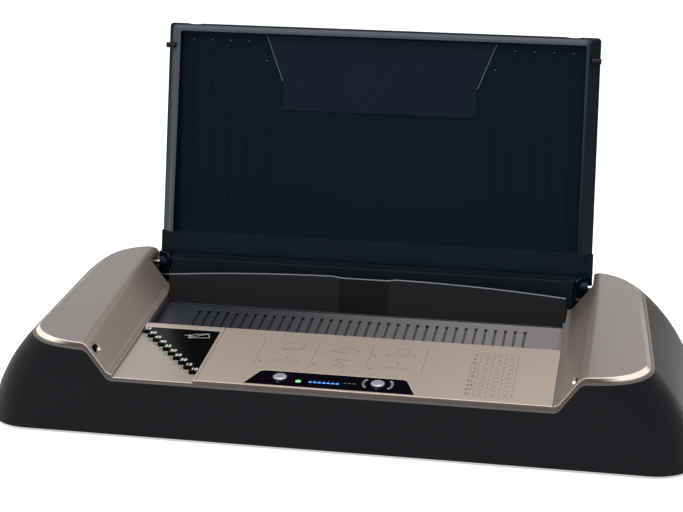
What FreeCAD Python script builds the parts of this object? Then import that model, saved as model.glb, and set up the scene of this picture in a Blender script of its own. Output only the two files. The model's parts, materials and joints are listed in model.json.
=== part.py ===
# Thermal binding machine: a wide desk-top housing with a document slot and a hinged cover.
# Millimetres, +Z up, the front towards -Y, the origin under the middle of the footprint.
import FreeCAD
import Part
import math
import os

# Housing outline
wing_reach = 84.2
rear_reach = 53.9
hull_rise = 23.0
flank_inset = 69.0
waist_inset = 21.0
waist_height = 49.7
front_inset = 3.0
front_corner_radius = 34.0
rear_corner_reach = 86.0
shell_wall = 2.5
core_facet_count = 4
core_corner_cut = 18.5
cover_setback = 0.8
foot_reveal = 2.0

# Top surfaces: a sunken deck between two raised wings
deck_setback = 2.0
deck_front_height = 46.5
deck_slope_deg = 3.1
deck_length = 92.7
wing_rise = 22.5
wing_slope_deg = 4.0
bay_half_width = 162.0
wall_lean_deg = 36.0
crease_radius = 8.0
wall_foot_radius = 6.0
ledge_width = 3.0
cover_thickness = 3.4
rim_height = 1.5
fit_gap = 0.3
overrun = 30.0
small_round_side_count = 12

# Thickness gauge, its tray and the seam beside it
tray_width = 59.8
tray_rear_inset = 7.3
tray_depth = 2.2
tray_floor = 2.4
pan_lap = 0.6
gauge_side_gap = 0.4
gauge_front = 14.0
gauge_proud = 0.3
gauge_edge = 0.2
gauge_step_count = 10
seam_inset = 2.2
seam_width = 0.6
seam_depth = 0.6

# Control panel on the deck
panel_front = 2.6
panel_length = 22.4
panel_half_width = 61.7
panel_top_half_width = 53.0
panel_corner_radius = 4.5
panel_thickness = 1.2
panel_recess = 1.1
button_radius = 5.0
button_gap = 0.25
button_rise = 1.3
button_crown = 0.6
button_crown_inset = 0.8
button_travel = 1.0
button_flange = 1.2
button_seat_gap = 0.1
button_stem_radius = 2.0
power_button_x = -37.5
mode_button_x = 33.8
button_row = 15.3
led_row = 11.0
green_led_x = -23.3
green_led_radius = 2.0
blue_led_x = -14.5
blue_led_pitch = 3.27
blue_led_count = 7
blue_led_width = 2.2
blue_led_depth = 1.6
led_gap = 0.1
board_drop = 12.0
board_thickness = 1.6
board_side_inset = 3.0
board_margin = 1.0
board_post_radius = 2.6
switch_size = 6.0
switch_height = 3.4

# Vent plate behind the deck
vent_gap = 0.5
vent_length = 56.4
vent_drop = 4.4
vent_slope_deg = 4.6
vent_side_gap = 0.2
vent_thickness = 1.2
slot_count = 35
slot_end_margin = 29.504
slot_width = 1.9
slot_margin_front = 18.3
slot_margin_rear = 9.5
slot_eye_radius = 1.7
slot_eye_side_count = 8

# Document slot, front guard and rear guide
guard_gap = 0.6
guard_rise = 4.8
slot_lean_deg = 13.5
guard_side_gap = 0.5
guard_thickness = 2.7
guard_end_height = 23.1
guard_mid_height = 29.4
guard_mid_reach = 25.0
guard_notch_reach = 18.3
guard_notch_depth = 1.0
guard_bulge = 1.3
guard_edge = 0.6
channel_wall = 1.6
channel_depth = 34.0
channel_end_inset = 1.5
slot_opening = 27.2
guide_depth = 13.5
guide_rise = 28.7
guide_side_reach = 1.9
guide_wall = 2.2
guide_corner_radius = 3.0
guide_edge_radius = 0.8
guide_height = 20.6
heater_thickness = 4.0
heater_side_gap = 0.5
heater_rib_height = 1.0
heater_rib_width = 1.2
insulator_thickness = 2.0
element_thickness = 0.6
heater_lane_count = 3
thermostat_radius = 8.0
thermostat_height = 4.0
thermostat_x = 40.0

# Cover, its hinge and its locating pegs
hinge_inset = 6.8
hinge_drop = 6.8
lid_lean_deg = 13.5
peg_drop_deg = 2.1
lid_side_taper = 2.4
lid_side_gap = 1.4
lid_rim_inset = 9.7
lid_rim_heel_inset = 10.0
lid_overhang = 11.4
lid_rim_setback = 4.9
lid_heel = 3.0
lid_tray_start = 25.5
lid_offset = 12.9
lid_wall = 2.3
lid_rim_drop = 1.0
lid_corner_radius = 3.0
lid_edge = 1.2
lid_rim_corner_radius = 1.5
lid_rib_margin = 11.8
lid_rib_count = 5
lid_rib_width = 0.8
lid_rib_height = 0.5
lid_rib_low = 40.0
lid_rib_setback = 7.6
field_top_half_width = 92.5
field_narrowing = 14.5
field_setback = 8.0
field_slant_length = 37.5
field_foot_length = 22.0
field_thickness = 0.7
finger_notch_inset = 22.0
finger_notch_width = 20.0
finger_notch_depth = 1.5
peg_setback = 7.3
peg_radius = 2.2
peg_inset = 7.2
peg_length = 7.4
latch_slot_length = 10.0
latch_slot_width = 5.4
latch_slot_y = 9.8
latch_slot_reach = 8.9
ear_top = 8.4
ear_low = 9.0
ear_bend = 5.0
ear_reach = 8.3
ear_thickness = 2.8
ear_width = 12.0
boss_radius = 5.0
pin_radius = 2.0
pin_running_gap = 0.05
pin_inset = 0.6
pin_grip = 8.2
pocket_side_reach = 15.8
pocket_run = 17.1
bracket_wall = 2.2
bracket_boss_radius = 5.5
bracket_floor_drop = 1.0
bracket_run = 1.9

# Underside, electrics and fastenings
base_plate_thickness = 2.5
foot_length = 26.0
foot_width = 16.0
foot_clip = 4.0
foot_inset_x = 62.0
foot_inset_front = 34.0
foot_inset_rear = 46.0
screw_inset_front = 68.0
screw_inset_rear = 92.0
screw_radius = 3.2
screw_head_height = 1.2
screw_shank_radius = 1.5
screw_shank_length = 6.0
mains_board_width = 90.0
mains_board_depth = 62.0
mains_board_inset = 112.0
mains_board_setback = 80.0
mains_post_height = 8.0
mains_post_radius = 3.0
transformer_width = 22.5
transformer_depth = 31.0
transformer_height = 16.0
transformer_setback = 22.5
inlet_width = 28.0
inlet_height = 20.5
inlet_depth = 20.0
inlet_wall = 2.0
inlet_chamfer = 4.0
inlet_inset = 112.0
inlet_z = 22.0
inlet_pin_width = 2.0
inlet_pin_height = 4.0
inlet_pin_reach = 7.0
inlet_pin_rise = 2.0
vent_line_count = 9
vent_line_pitch = 7.0
vent_line_width = 2.4
vent_line_length = 46.0

# Distances behind the deck's front edge
tray_length = deck_length - tray_rear_inset
vent_front = deck_length + vent_gap
vent_rear = vent_front + vent_length
slot_front = vent_front + slot_margin_front
slot_rear = vent_rear - slot_margin_rear
guard_foot = vent_rear + guard_gap
guide_front = guard_foot + slot_opening
guide_rear = guide_front + guide_depth
hinge_setback = guide_rear - hinge_inset
pocket_front = hinge_setback - pocket_run
bracket_rear = hinge_setback + bracket_run
case_depth = deck_setback + hinge_setback + rear_reach
front_y = -case_depth / 2
deck_front_y = front_y + deck_setback
hinge_y = deck_front_y + hinge_setback

# Heights above the shell's lower edge
wing_front_height = deck_front_height + wing_rise
hull_height = wing_front_height + hull_rise
vent_front_height = deck_front_height - vent_drop
guard_foot_height = vent_front_height + guard_rise
guide_top_height = guard_foot_height + guide_rise
guide_foot_height = guide_top_height - guide_height
bracket_floor_height = guide_foot_height - bracket_floor_drop
hinge_height = guide_top_height - hinge_drop
hinge_z = foot_reveal + hinge_height

# Half widths, from the bay between the wings outwards
deck_half_width = bay_half_width - ledge_width - fit_gap
vent_half_width = deck_half_width - vent_side_gap
slot_pitch = 2 * (vent_half_width - slot_end_margin) / (slot_count - 1)
guard_half_width = deck_half_width - guard_side_gap
channel_half_width = bay_half_width - channel_end_inset
guide_half_width = bay_half_width + guide_side_reach
pocket_half_width = bay_half_width + pocket_side_reach
latch_slot_x = bay_half_width + latch_slot_reach
board_half_width = panel_top_half_width - board_side_inset
case_width = 2 * (pocket_half_width + wing_reach)
mains_board_x = case_width / 2 - mains_board_inset
mains_board_y = front_y + mains_board_setback
inlet_x = inlet_inset - case_width / 2

# Cover: its half widths and its distances from the hinge
lid_taper_deg = wing_slope_deg - peg_drop_deg
lid_heel_half_width = pocket_half_width - lid_side_gap
lid_half_width = lid_heel_half_width - lid_side_taper
lid_rim_half_width = lid_half_width - lid_rim_inset
lid_rim_heel_half_width = lid_heel_half_width - lid_rim_heel_inset
lid_length = hinge_setback + lid_overhang
lid_rim_length = lid_length - lid_rim_setback
field_low_half_width = field_top_half_width - field_narrowing
field_top = lid_length - field_setback
field_bend = field_top - field_slant_length
field_low = field_bend - field_foot_length
lid_rib_start = field_top_half_width - lid_rib_width
lid_rib_pitch = (lid_rim_half_width - lid_rib_margin - lid_rib_start) / (lid_rib_count - 1)
lid_rib_high = lid_rim_length - lid_rib_setback
finger_notch_x = lid_half_width - finger_notch_inset
peg_distance = hinge_setback - peg_setback
peg_inner_x = lid_half_width - peg_inset
peg_outer_x = peg_inner_x + peg_length
ear_inner_x = lid_heel_half_width - ear_width
pin_inner_x = ear_inner_x + pin_inset
pin_outer_x = pocket_half_width + pin_grip
X_AXIS = FreeCAD.Vector(1, 0, 0)
Y_AXIS = FreeCAD.Vector(0, 1, 0)


def vec(x, y, z):
    return FreeCAD.Vector(x, y, z)


def tan(angle_deg):
    return math.tan(math.radians(angle_deg))


def cos(angle_deg):
    return math.cos(math.radians(angle_deg))


def sin(angle_deg):
    return math.sin(math.radians(angle_deg))


def block(x0, x1, y0, y1, z0, z1):
    return Part.makeBox(x1 - x0, y1 - y0, z1 - z0, vec(x0, y0, z0))


def prism_x(points, x0, x1):
    """Solid with the (y, z) outline given, running from x0 to x1."""
    corners = [vec(x0, y, z) for y, z in points]
    face = Part.Face(Part.makePolygon(corners + corners[:1]))
    return face.extrude(vec(x1 - x0, 0, 0))


def prism_y(points, y0, y1):
    """Solid with the (x, z) outline given, running from y0 to y1."""
    corners = [vec(x, y0, z) for x, z in points]
    face = Part.Face(Part.makePolygon(corners + corners[:1]))
    return face.extrude(vec(0, y1 - y0, 0))


def many_sided(count, radius, x, y, z0, z1):
    """Small upright round with few sides, a flat one towards each axis."""
    corners = []
    for index in range(count):
        turn = 2 * math.pi * (index + 1 / 2) / count
        corners.append(vec(x + radius * math.cos(turn), y + radius * math.sin(turn), z0))
    return Part.Face(Part.makePolygon(corners + corners[:1])).extrude(vec(0, 0, z1 - z0))


def small_round(radius, x, y, z0, z1):
    return many_sided(small_round_side_count, radius, x, y, z0, z1)


def mirrored(shape):
    return shape.mirror(vec(0, 0, 0), X_AXIS)


def both_sides(shape):
    return Part.makeCompound([shape, mirrored(shape)])


def corner_edges(points, place):
    """Edges of a closed outline; each point is (a, b, radius) and place(a, b) puts it in space."""
    edges = []
    starts = []
    ends = []
    count = len(points)
    for index in range(count):
        a, b, radius = points[index]
        before = points[index - 1]
        after = points[(index + 1) % count]
        to_before = FreeCAD.Vector(before[0] - a, before[1] - b, 0).normalize()
        to_after = FreeCAD.Vector(after[0] - a, after[1] - b, 0).normalize()
        half_angle = to_before.getAngle(to_after) / 2
        reach = radius / math.tan(half_angle)
        start = vec(a, b, 0) + to_before * reach
        end = vec(a, b, 0) + to_after * reach
        starts.append(start)
        ends.append(end)
        if radius > 0:
            inward = (to_before + to_after).normalize()
            centre = vec(a, b, 0) + inward * (radius / math.sin(half_angle))
            middle = centre - inward * radius
            arc = Part.Arc(place(start.x, start.y), place(middle.x, middle.y), place(end.x, end.y))
            edges.append((index, arc.toShape()))
    ordered = []
    arcs = dict(edges)
    for index in range(count):
        if index in arcs:
            ordered.append(arcs[index])
        after = (index + 1) % count
        first = place(ends[index].x, ends[index].y)
        last = place(starts[after].x, starts[after].y)
        ordered.append(Part.LineSegment(first, last).toShape())
    return ordered


def outline_wire(points, place):
    return Part.Wire(corner_edges(points, place))


def plate_z(points, z0, z1):
    """Flat plate with rounded corners given as (x, y, radius), from z0 to z1."""
    wire = outline_wire(points, lambda x, y: vec(x, y, z0))
    return Part.Face(wire).extrude(vec(0, 0, z1 - z0))


def deck_z(y):
    return foot_reveal + deck_front_height + (y - deck_front_y) * tan(deck_slope_deg)


def wing_z(y):
    return foot_reveal + wing_front_height + (y - deck_front_y) * tan(wing_slope_deg)


def deck_frame():
    """Frame of the deck: y runs back along it, z stands square to it."""
    corner = vec(0, deck_front_y, foot_reveal + deck_front_height)
    return FreeCAD.Placement(corner, FreeCAD.Rotation(X_AXIS, deck_slope_deg))


def slot_frame():
    """Frame of the leaning slot: y runs back across it, z runs up along the guard's front."""
    corner = vec(0, deck_front_y + guard_foot, foot_reveal + guard_foot_height)
    return FreeCAD.Placement(corner, FreeCAD.Rotation(X_AXIS, -slot_lean_deg))


def lid_frame():
    """Frame of the open cover: z runs up along its pins-to-pegs line, y points behind it."""
    return FreeCAD.Placement(vec(0, hinge_y, hinge_z), FreeCAD.Rotation(X_AXIS, -lid_lean_deg))


def panel_frame():
    """Frame of the open cover's flat panel, which tapers towards the pins-to-pegs line."""
    lean = lid_lean_deg - lid_taper_deg
    return FreeCAD.Placement(vec(0, hinge_y, hinge_z), FreeCAD.Rotation(X_AXIS, -lean))


def placed(shape, frame):
    moved = shape.copy()
    moved.Placement = frame.multiply(moved.Placement)
    return moved


def hull_flank(reach, place):
    """Foot, waist and top of the swelling flank; place(out, up) puts each point in space."""
    return [
        place(reach, foot_reveal),
        place(reach - waist_inset, foot_reveal + waist_height),
        place(reach - flank_inset, foot_reveal + hull_height),
    ]


def flank_edges(points, facet_count):
    """Flank through its three points: one arc, or straight facets between points on that arc."""
    arc = Part.Arc(*points).toShape()
    if facet_count == 0:
        return [arc]
    stations = arc.discretize(facet_count + 1)
    return [Part.LineSegment(first, last).toShape() for first, last in zip(stations, stations[1:])]


def hull_across(inset, facet_count):
    """Housing from flank to flank, with both ends square."""
    start = front_y + inset
    end = case_depth / 2 - rear_corner_reach
    right = hull_flank(case_width / 2 - inset, lambda out, up: vec(out, start, up))
    left = [vec(-point.x, point.y, point.z) for point in reversed(right)]
    edges = [Part.LineSegment(left[-1], right[0]).toShape()]
    edges.extend(flank_edges(right, facet_count))
    edges.append(Part.LineSegment(right[-1], left[0]).toShape())
    edges.extend(flank_edges(left, facet_count))
    return Part.Face(Part.Wire(edges)).extrude(vec(0, end - start, 0))


def upright_face(flank, low, high, facet_count):
    """Upright face between the flank and the line from low to high."""
    edges = [Part.LineSegment(low, flank[0]).toShape()]
    edges.extend(flank_edges(flank, facet_count))
    edges.append(Part.LineSegment(flank[-1], high).toShape())
    edges.append(Part.LineSegment(high, low).toShape())
    return Part.Face(Part.Wire(edges))


def hull_back(inset, facet_count):
    """Rear of the housing between its two rounded corners."""
    half = case_width / 2 - rear_corner_reach
    flank = hull_flank(case_depth / 2 - inset, lambda out, up: vec(-half, out, up))
    low = vec(-half, front_y + inset, flank[0].z)
    high = vec(-half, front_y + inset, flank[-1].z)
    return upright_face(flank, low, high, facet_count).extrude(vec(2 * half, 0, 0))


def hull_corner(inset, facet_count):
    """Right rear corner: the same flank turned about an upright axis."""
    axis_x = case_width / 2 - rear_corner_reach
    axis_y = case_depth / 2 - rear_corner_reach
    flank = hull_flank(rear_corner_reach - inset, lambda out, up: vec(axis_x + out, axis_y, up))
    low = vec(axis_x, axis_y, flank[0].z)
    high = vec(axis_x, axis_y, flank[-1].z)
    return upright_face(flank, low, high, facet_count).revolve(low, vec(0, 0, 1), 90)


def joined_hull(inset, corner, facet_count):
    """Housing drawn in by inset, from its middle, its back and a right rear corner; front edges sharp."""
    back = hull_back(inset, facet_count)
    body = hull_across(inset, facet_count).fuse([back, corner, mirrored(corner)]).removeSplitter()
    top = foot_reveal + hull_height
    front = front_y + inset
    far = front - overrun
    lean = [(front, foot_reveal), (front + front_inset, top), (far, top), (far, foot_reveal)]
    return body.cut(prism_x(lean, -case_width, case_width))


def front_corner_edges(body, inset):
    """Rising edges between the front and the flanks."""
    rear_limit = front_y + inset + front_inset + fit_gap
    return [edge for edge in body.Edges if edge.BoundBox.ZLength > front_inset
            and edge.BoundBox.YMax < rear_limit]


def hull(inset):
    """Smooth outer form of the housing: upright front, flanks and rear that swell out."""
    body = joined_hull(inset, hull_corner(inset, 0), 0)
    return body.makeFillet(front_corner_radius - inset, front_corner_edges(body, inset))


def banded_hull(inset):
    """The same smooth form, its corners in the spline form that thin bands cut more cleanly."""
    body = joined_hull(inset, hull_corner(inset, 0).toNurbs(), 0)
    return body.makeFillet(front_corner_radius - inset, front_corner_edges(body, inset))


def core(inset):
    """The same form with faceted flanks and cut corners, for the hollow and what fits in it."""
    body = joined_hull(inset, hull_corner(inset, core_facet_count), core_facet_count)
    return body.makeChamfer(core_corner_cut, front_corner_edges(body, inset))


def channel_corners(y):
    """Corners of the free space above the wings and the deck at one depth."""
    low = deck_z(y)
    high = wing_z(y)
    crease = bay_half_width + (high - low) * tan(wall_lean_deg)
    far = case_width / 2 + overrun
    ceiling = foot_reveal + hull_height + overrun
    right = [(bay_half_width, low), (crease, high), (far, high), (far, ceiling)]
    left = [(-x, z) for x, z in reversed(right)]
    return [vec(x, y, z) for x, z in right + left]


def rounded_along(solid, radius, ends):
    """Rounds the edges of a solid that run between the pairs of points given."""
    chosen = []
    for first, last in ends:
        middle = (first + last) * 0.5
        chosen.extend(edge for edge in solid.Edges if edge.CenterOfMass.distanceToPoint(middle) < fit_gap)
    return solid.makeFillet(radius, chosen)


def channel():
    """Free space above the wings and the deck, with its creases and wall feet rounded."""
    near = channel_corners(front_y - overrun)
    distant = channel_corners(case_depth / 2 + overrun)
    count = len(near)
    faces = [Part.Face(Part.makePolygon(end + end[:1])) for end in (near, distant)]
    for index in range(count):
        after = (index + 1) % count
        corners = [near[index], near[after], distant[after], distant[index]]
        faces.append(Part.Face(Part.makePolygon(corners + corners[:1])))
    space = Part.makeSolid(Part.makeShell(faces))
    feet = [(near[0], distant[0]), (near[-1], distant[-1])]
    creases = [(near[1], distant[1]), (near[-2], distant[-2])]
    return rounded_along(rounded_along(space, wall_foot_radius, feet), crease_radius, creases)


def lowered(shape, drop):
    moved = shape.copy()
    moved.translate(vec(0, 0, -drop))
    return moved


def rear_bay(drop, spread):
    """Free space behind and beside the hinge, down to the deck's level lowered by drop."""
    start = deck_front_y + pocket_front
    end = case_depth / 2 + overrun
    ceiling = foot_reveal + hull_height + overrun
    outline = [(start, deck_z(start) - drop), (end, deck_z(end) - drop), (end, ceiling), (start, ceiling)]
    return prism_x(outline, -pocket_half_width - spread, pocket_half_width + spread)


def below_surface(solid, drop, spread):
    """What is left of a solid under the top surfaces, lowered by drop, and beside the hinge's bay."""
    return solid.cut(lowered(channel(), drop)).cut(rear_bay(drop, spread))


def build_tub(outer, inner):
    """Dark outer shell, cut off along the wings, walls and deck, with the inlet's window."""
    shell = below_surface(outer.cut(inner), cover_thickness + rim_height, rim_height)
    window = block(
        inlet_x - inlet_width / 2 - fit_gap,
        inlet_x + inlet_width / 2 + fit_gap,
        hinge_y,
        case_depth / 2 + overrun,
        inlet_z - inlet_height / 2 - fit_gap,
        inlet_z + inlet_height / 2 + fit_gap,
    )
    return shell.cut(window)


def build_rim(outer, inner):
    """Thin band between the dark shell and the covers."""
    ring = below_surface(outer.cut(inner), cover_thickness, 0)
    return ring.cut(below_surface(outer, cover_thickness + rim_height, rim_height))


def build_skin(cover_hull):
    """Slab that holds both wing covers and the deck in one thickness."""
    return below_surface(cover_hull, 0, 0).cut(below_surface(cover_hull, cover_thickness, 0))


def build_wing(skin):
    """Right wing cover with its inner wall, the foot ledge and the peg's slot."""
    inner_x = bay_half_width - ledge_width
    far = case_width / 2 + overrun
    side = block(inner_x, far, front_y - overrun, case_depth / 2 + overrun, 0, hull_height + overrun)
    pocket_y = deck_front_y + pocket_front
    pocket = block(0, pocket_half_width, pocket_y, case_depth / 2 + overrun, 0, hull_height + overrun)
    wing = skin.common(side).cut(pocket)
    slot = Part.makeCylinder(latch_slot_width / 2, overrun, vec(0, 0, 0), X_AXIS)
    half_run = (latch_slot_length - latch_slot_width) / 2
    slot_z = foot_reveal + hinge_height - hinge_setback * tan(peg_drop_deg)
    start_x = latch_slot_x - overrun / 2
    ends = []
    for step in (-half_run, half_run):
        moved = slot.copy()
        moved.translate(vec(start_x, deck_front_y + latch_slot_y + step, slot_z))
        ends.append(moved)
    middle = block(
        start_x,
        start_x + overrun,
        deck_front_y + latch_slot_y - half_run,
        deck_front_y + latch_slot_y + half_run,
        slot_z - latch_slot_width / 2,
        slot_z + latch_slot_width / 2,
    )
    return wing.cut(ends[0]).cut(ends[1]).cut(middle)


def panel_outline(grow):
    """Trapezoid of the control panel on the deck, grown by a gap on every side."""
    rear = panel_front + panel_length
    return [
        (-panel_half_width - grow, panel_front - grow, 0),
        (panel_half_width + grow, panel_front - grow, 0),
        (panel_top_half_width + grow, rear + grow, panel_corner_radius),
        (-panel_top_half_width - grow, rear + grow, panel_corner_radius),
    ]


def button_places():
    return {"power": power_button_x, "mode": mode_button_x}


def led_cutters(grow):
    """Green lamp's round window and the row of seven blue ones, through panel and deck."""
    green = Part.makeCylinder(green_led_radius + grow, overrun, vec(green_led_x, led_row, -overrun / 2))
    cutters = [green]
    for index in range(blue_led_count):
        x = blue_led_x + blue_led_pitch * index
        cutters.append(
            block(
                x - blue_led_width / 2 - grow,
                x + blue_led_width / 2 + grow,
                led_row - blue_led_depth / 2 - grow,
                led_row + blue_led_depth / 2 + grow,
                -overrun / 2,
                overrun / 2,
            )
        )
    return cutters


def build_deck(skin):
    """Deck with the gauge tray, the seam, the panel's recess and the button and lamp holes."""
    rear_y = deck_front_y + deck_length
    ceiling = hull_height + overrun
    deck = skin.common(block(-deck_half_width, deck_half_width, front_y - overrun, rear_y, 0, ceiling))
    tray_right = -deck_half_width + tray_width
    pan_inset = cover_setback + shell_wall
    pan_top = -tray_depth - pan_lap
    pan = block(-deck_half_width, tray_right, pan_inset, tray_length, -tray_depth - tray_floor, pan_top)
    tray = block(-case_width, tray_right, -overrun, tray_length, -tray_depth, overrun)
    seam_x = tray_right + seam_inset
    seam = block(seam_x, seam_x + seam_width, -overrun, deck_length + overrun, -seam_depth, overrun)
    recess = plate_z(panel_outline(fit_gap / 2), -panel_recess, overrun)
    frame = deck_frame()
    pan = placed(pan, frame).common(block(-case_width, case_width, front_y, case_depth, 0, ceiling))
    deck = deck.fuse(pan).cut(placed(tray, frame))
    deck = deck.cut(placed(seam, frame)).cut(placed(recess, frame))
    for x in button_places().values():
        hole = Part.makeCylinder(button_radius + button_gap, overrun, vec(x, button_row, -overrun / 2))
        deck = deck.cut(placed(hole, frame))
    for cutter in led_cutters(led_gap):
        deck = deck.cut(placed(cutter, frame))
    posts = board_posts()
    return deck.fuse([placed(post, frame) for post in posts])


def board_posts():
    """Four posts under the deck that carry the control board."""
    posts = []
    for x in (-board_half_width + board_post_radius, board_half_width - board_post_radius):
        for y in (panel_front + board_post_radius, panel_front + panel_length - board_post_radius):
            posts.append(small_round(board_post_radius, x, y, -board_drop, -cover_thickness / 2))
    return posts


def build_gauge():
    """Black stepped wedge: a triangle whose long side climbs in equal steps."""
    right = -deck_half_width + tray_width - gauge_side_gap
    left = -deck_half_width + gauge_side_gap
    rear = tray_length - gauge_side_gap
    step_x = (right - left) / gauge_step_count
    step_y = (rear - gauge_front) / gauge_step_count
    outline = [(right, rear, 0), (right, gauge_front, 0)]
    for index in range(gauge_step_count):
        x = right - step_x * (index + 1)
        y = gauge_front + step_y * index
        outline.append((x, y, 0))
        outline.append((x, y + step_y, 0))
    wedge = plate_z(outline, -tray_depth, gauge_proud)
    top = [edge for edge in wedge.Edges if edge.BoundBox.ZMin > gauge_proud - fit_gap]
    return placed(wedge.makeChamfer(gauge_edge, top), deck_frame())


def build_panel():
    """Glossy trapezoid plate with the holes for two buttons and eight lamps."""
    panel = plate_z(panel_outline(0), -panel_recess, panel_thickness - panel_recess)
    for x in button_places().values():
        hole = Part.makeCylinder(button_radius + button_gap, overrun, vec(x, button_row, -overrun / 2))
        panel = panel.cut(hole)
    for cutter in led_cutters(led_gap):
        panel = panel.cut(cutter)
    return placed(panel, deck_frame())


def build_button(x):
    """Round cap with a sloped crown, a skirt inside the hole and a thin stem to its switch."""
    top = panel_thickness - panel_recess + button_rise
    skirt = cover_thickness + button_flange + button_seat_gap
    cap = Part.makeCylinder(button_radius, top - button_crown + skirt, vec(x, button_row, -skirt))
    crown = Part.makeCone(button_radius, button_radius - button_crown_inset, button_crown,
                          vec(x, button_row, top - button_crown))
    cap = cap.fuse(crown)
    switch_top = -board_drop + switch_height
    stem_end = switch_top + button_travel + fit_gap
    stem = small_round(button_stem_radius, x, button_row, stem_end, -skirt)
    flange_radius = button_radius + button_gap + button_flange
    flange = small_round(flange_radius, x, button_row, -skirt, -skirt + button_flange)
    return placed(cap.fuse(stem).fuse(flange), deck_frame())


def build_lamps():
    """Green and blue lamp windows, flush with the panel's face."""
    face = panel_thickness - panel_recess
    depth = panel_thickness + cover_thickness / 2
    green = Part.makeCylinder(green_led_radius, depth, vec(green_led_x, led_row, face - depth))
    blues = []
    for index in range(blue_led_count):
        x = blue_led_x + blue_led_pitch * index
        blues.append(
            block(
                x - blue_led_width / 2,
                x + blue_led_width / 2,
                led_row - blue_led_depth / 2,
                led_row + blue_led_depth / 2,
                face - depth,
                face,
            )
        )
    frame = deck_frame()
    return placed(green, frame), placed(Part.makeCompound(blues), frame)


def build_board():
    """Control board under the panel and the two tactile switches on it."""
    board = block(
        -board_half_width,
        board_half_width,
        panel_front - board_margin,
        panel_front + panel_length + board_margin,
        -board_drop - board_thickness,
        -board_drop,
    )
    switches = []
    for x in button_places().values():
        half = switch_size / 2
        body = block(x - half, x + half, button_row - half, button_row + half, -board_drop,
                     -board_drop + switch_height - button_travel)
        switch_top = -board_drop + switch_height
        plunger = small_round(button_stem_radius, x, button_row, switch_top - button_travel, switch_top)
        switches.append(body.fuse(plunger))
    frame = deck_frame()
    return placed(board, frame), placed(Part.makeCompound(switches), frame)


def vent_frame():
    corner = vec(0, deck_front_y + vent_front, foot_reveal + vent_front_height)
    return FreeCAD.Placement(corner, FreeCAD.Rotation(X_AXIS, vent_slope_deg))


def build_vent_plate():
    """Satin plate sunk behind the deck: keyhole slots, upturned sides and front."""
    run = (vent_rear - vent_front) / cos(vent_slope_deg)
    plate = block(-vent_half_width, vent_half_width, 0, run, -vent_thickness, 0)
    slot_y0 = (slot_front - vent_front) / cos(vent_slope_deg)
    slot_y1 = (slot_rear - vent_front) / cos(vent_slope_deg)
    cutters = []
    for index in range(slot_count):
        x = (index - (slot_count - 1) / 2) * slot_pitch
        half = slot_width / 2
        eye_y = slot_y1 - slot_eye_radius
        cutter = block(x - half, x + half, slot_y0, eye_y, -overrun, overrun)
        eye = many_sided(slot_eye_side_count, slot_eye_radius, x, eye_y, -overrun, overrun)
        cutters.append(cutter.fuse(eye))
    plate = plate.cut(cutters)
    plate = placed(plate, vent_frame())
    walls = []
    inner_x = vent_half_width - vent_thickness
    y0 = deck_front_y + vent_front
    y1 = deck_front_y + vent_rear
    z0 = foot_reveal + vent_front_height - vent_thickness
    rise = (vent_rear - vent_front) * tan(vent_slope_deg)
    top0 = deck_z(y0) - cover_thickness
    top1 = deck_z(y1) - cover_thickness
    side = prism_x([(y0, z0), (y1, z0 + rise), (y1, top1), (y0, top0)], inner_x, vent_half_width)
    walls = [side, mirrored(side)]
    front = block(-vent_half_width, vent_half_width, y0, y0 + vent_thickness, z0, top0)
    plate = plate.fuse(walls + [front])
    return plate.removeSplitter()


def guard_outline(low):
    """Front outline of the guard: the top edge bows up to a shallow notch in the middle."""
    ends = vec(guard_half_width, 0, guard_end_height)
    knee = vec(guard_mid_reach, 0, guard_mid_height)
    dip = vec(guard_notch_reach, 0, guard_mid_height - guard_notch_depth)
    middle = (ends + knee) * 0.5 + vec(0, 0, guard_bulge)
    foot = vec(guard_half_width, 0, low)

    def flip(point):
        return vec(-point.x, point.y, point.z)

    edges = [
        Part.LineSegment(flip(foot), foot).toShape(),
        Part.LineSegment(foot, ends).toShape(),
        Part.Arc(ends, middle, knee).toShape(),
        Part.LineSegment(knee, dip).toShape(),
        Part.LineSegment(dip, flip(dip)).toShape(),
        Part.LineSegment(flip(dip), flip(knee)).toShape(),
        Part.Arc(flip(knee), flip(middle), flip(ends)).toShape(),
        Part.LineSegment(flip(ends), flip(foot)).toShape(),
    ]
    return Part.Wire(edges)


def build_guard():
    """Leaning front guard of the slot, with its top edge bevelled front and rear."""
    face = Part.Face(guard_outline(0))
    guard = face.extrude(vec(0, guard_thickness, 0))
    top = [edge for edge in guard.Edges if edge.BoundBox.ZMin > guard_end_height - fit_gap
           and edge.BoundBox.XLength > guard_edge]
    return placed(guard.makeChamfer(guard_edge, top), slot_frame())


def slot_reach():
    """Free width of the slot across its lean, from the guard's back to the rear guide."""
    level = guide_top_height - guard_foot_height
    across = guide_front - guard_foot - level * tan(slot_lean_deg)
    return across * cos(slot_lean_deg) - guard_thickness


def build_channel():
    """Leaning trough under the slot with floor, two long walls and two ends."""
    y0 = guard_thickness
    y1 = guard_thickness + slot_reach() + channel_wall
    z0 = -channel_depth
    half = channel_half_width
    front = block(-half, half, y0 - channel_wall, y0, z0, -vent_thickness - fit_gap)
    guide_level = guide_foot_height - guard_foot_height - fit_gap
    rear_top = (guide_level + (y1 - channel_wall) * sin(slot_lean_deg)) / cos(slot_lean_deg)
    rear = block(-half, half, y1 - channel_wall, y1, z0, rear_top)
    floor = block(-half, half, y0 - channel_wall, y1, z0 - channel_wall, z0)
    end = block(half - channel_wall, half, y0, y1 - channel_wall, z0, 0)
    return placed(floor.fuse([front, rear, end, mirrored(end)]), slot_frame())


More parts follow.
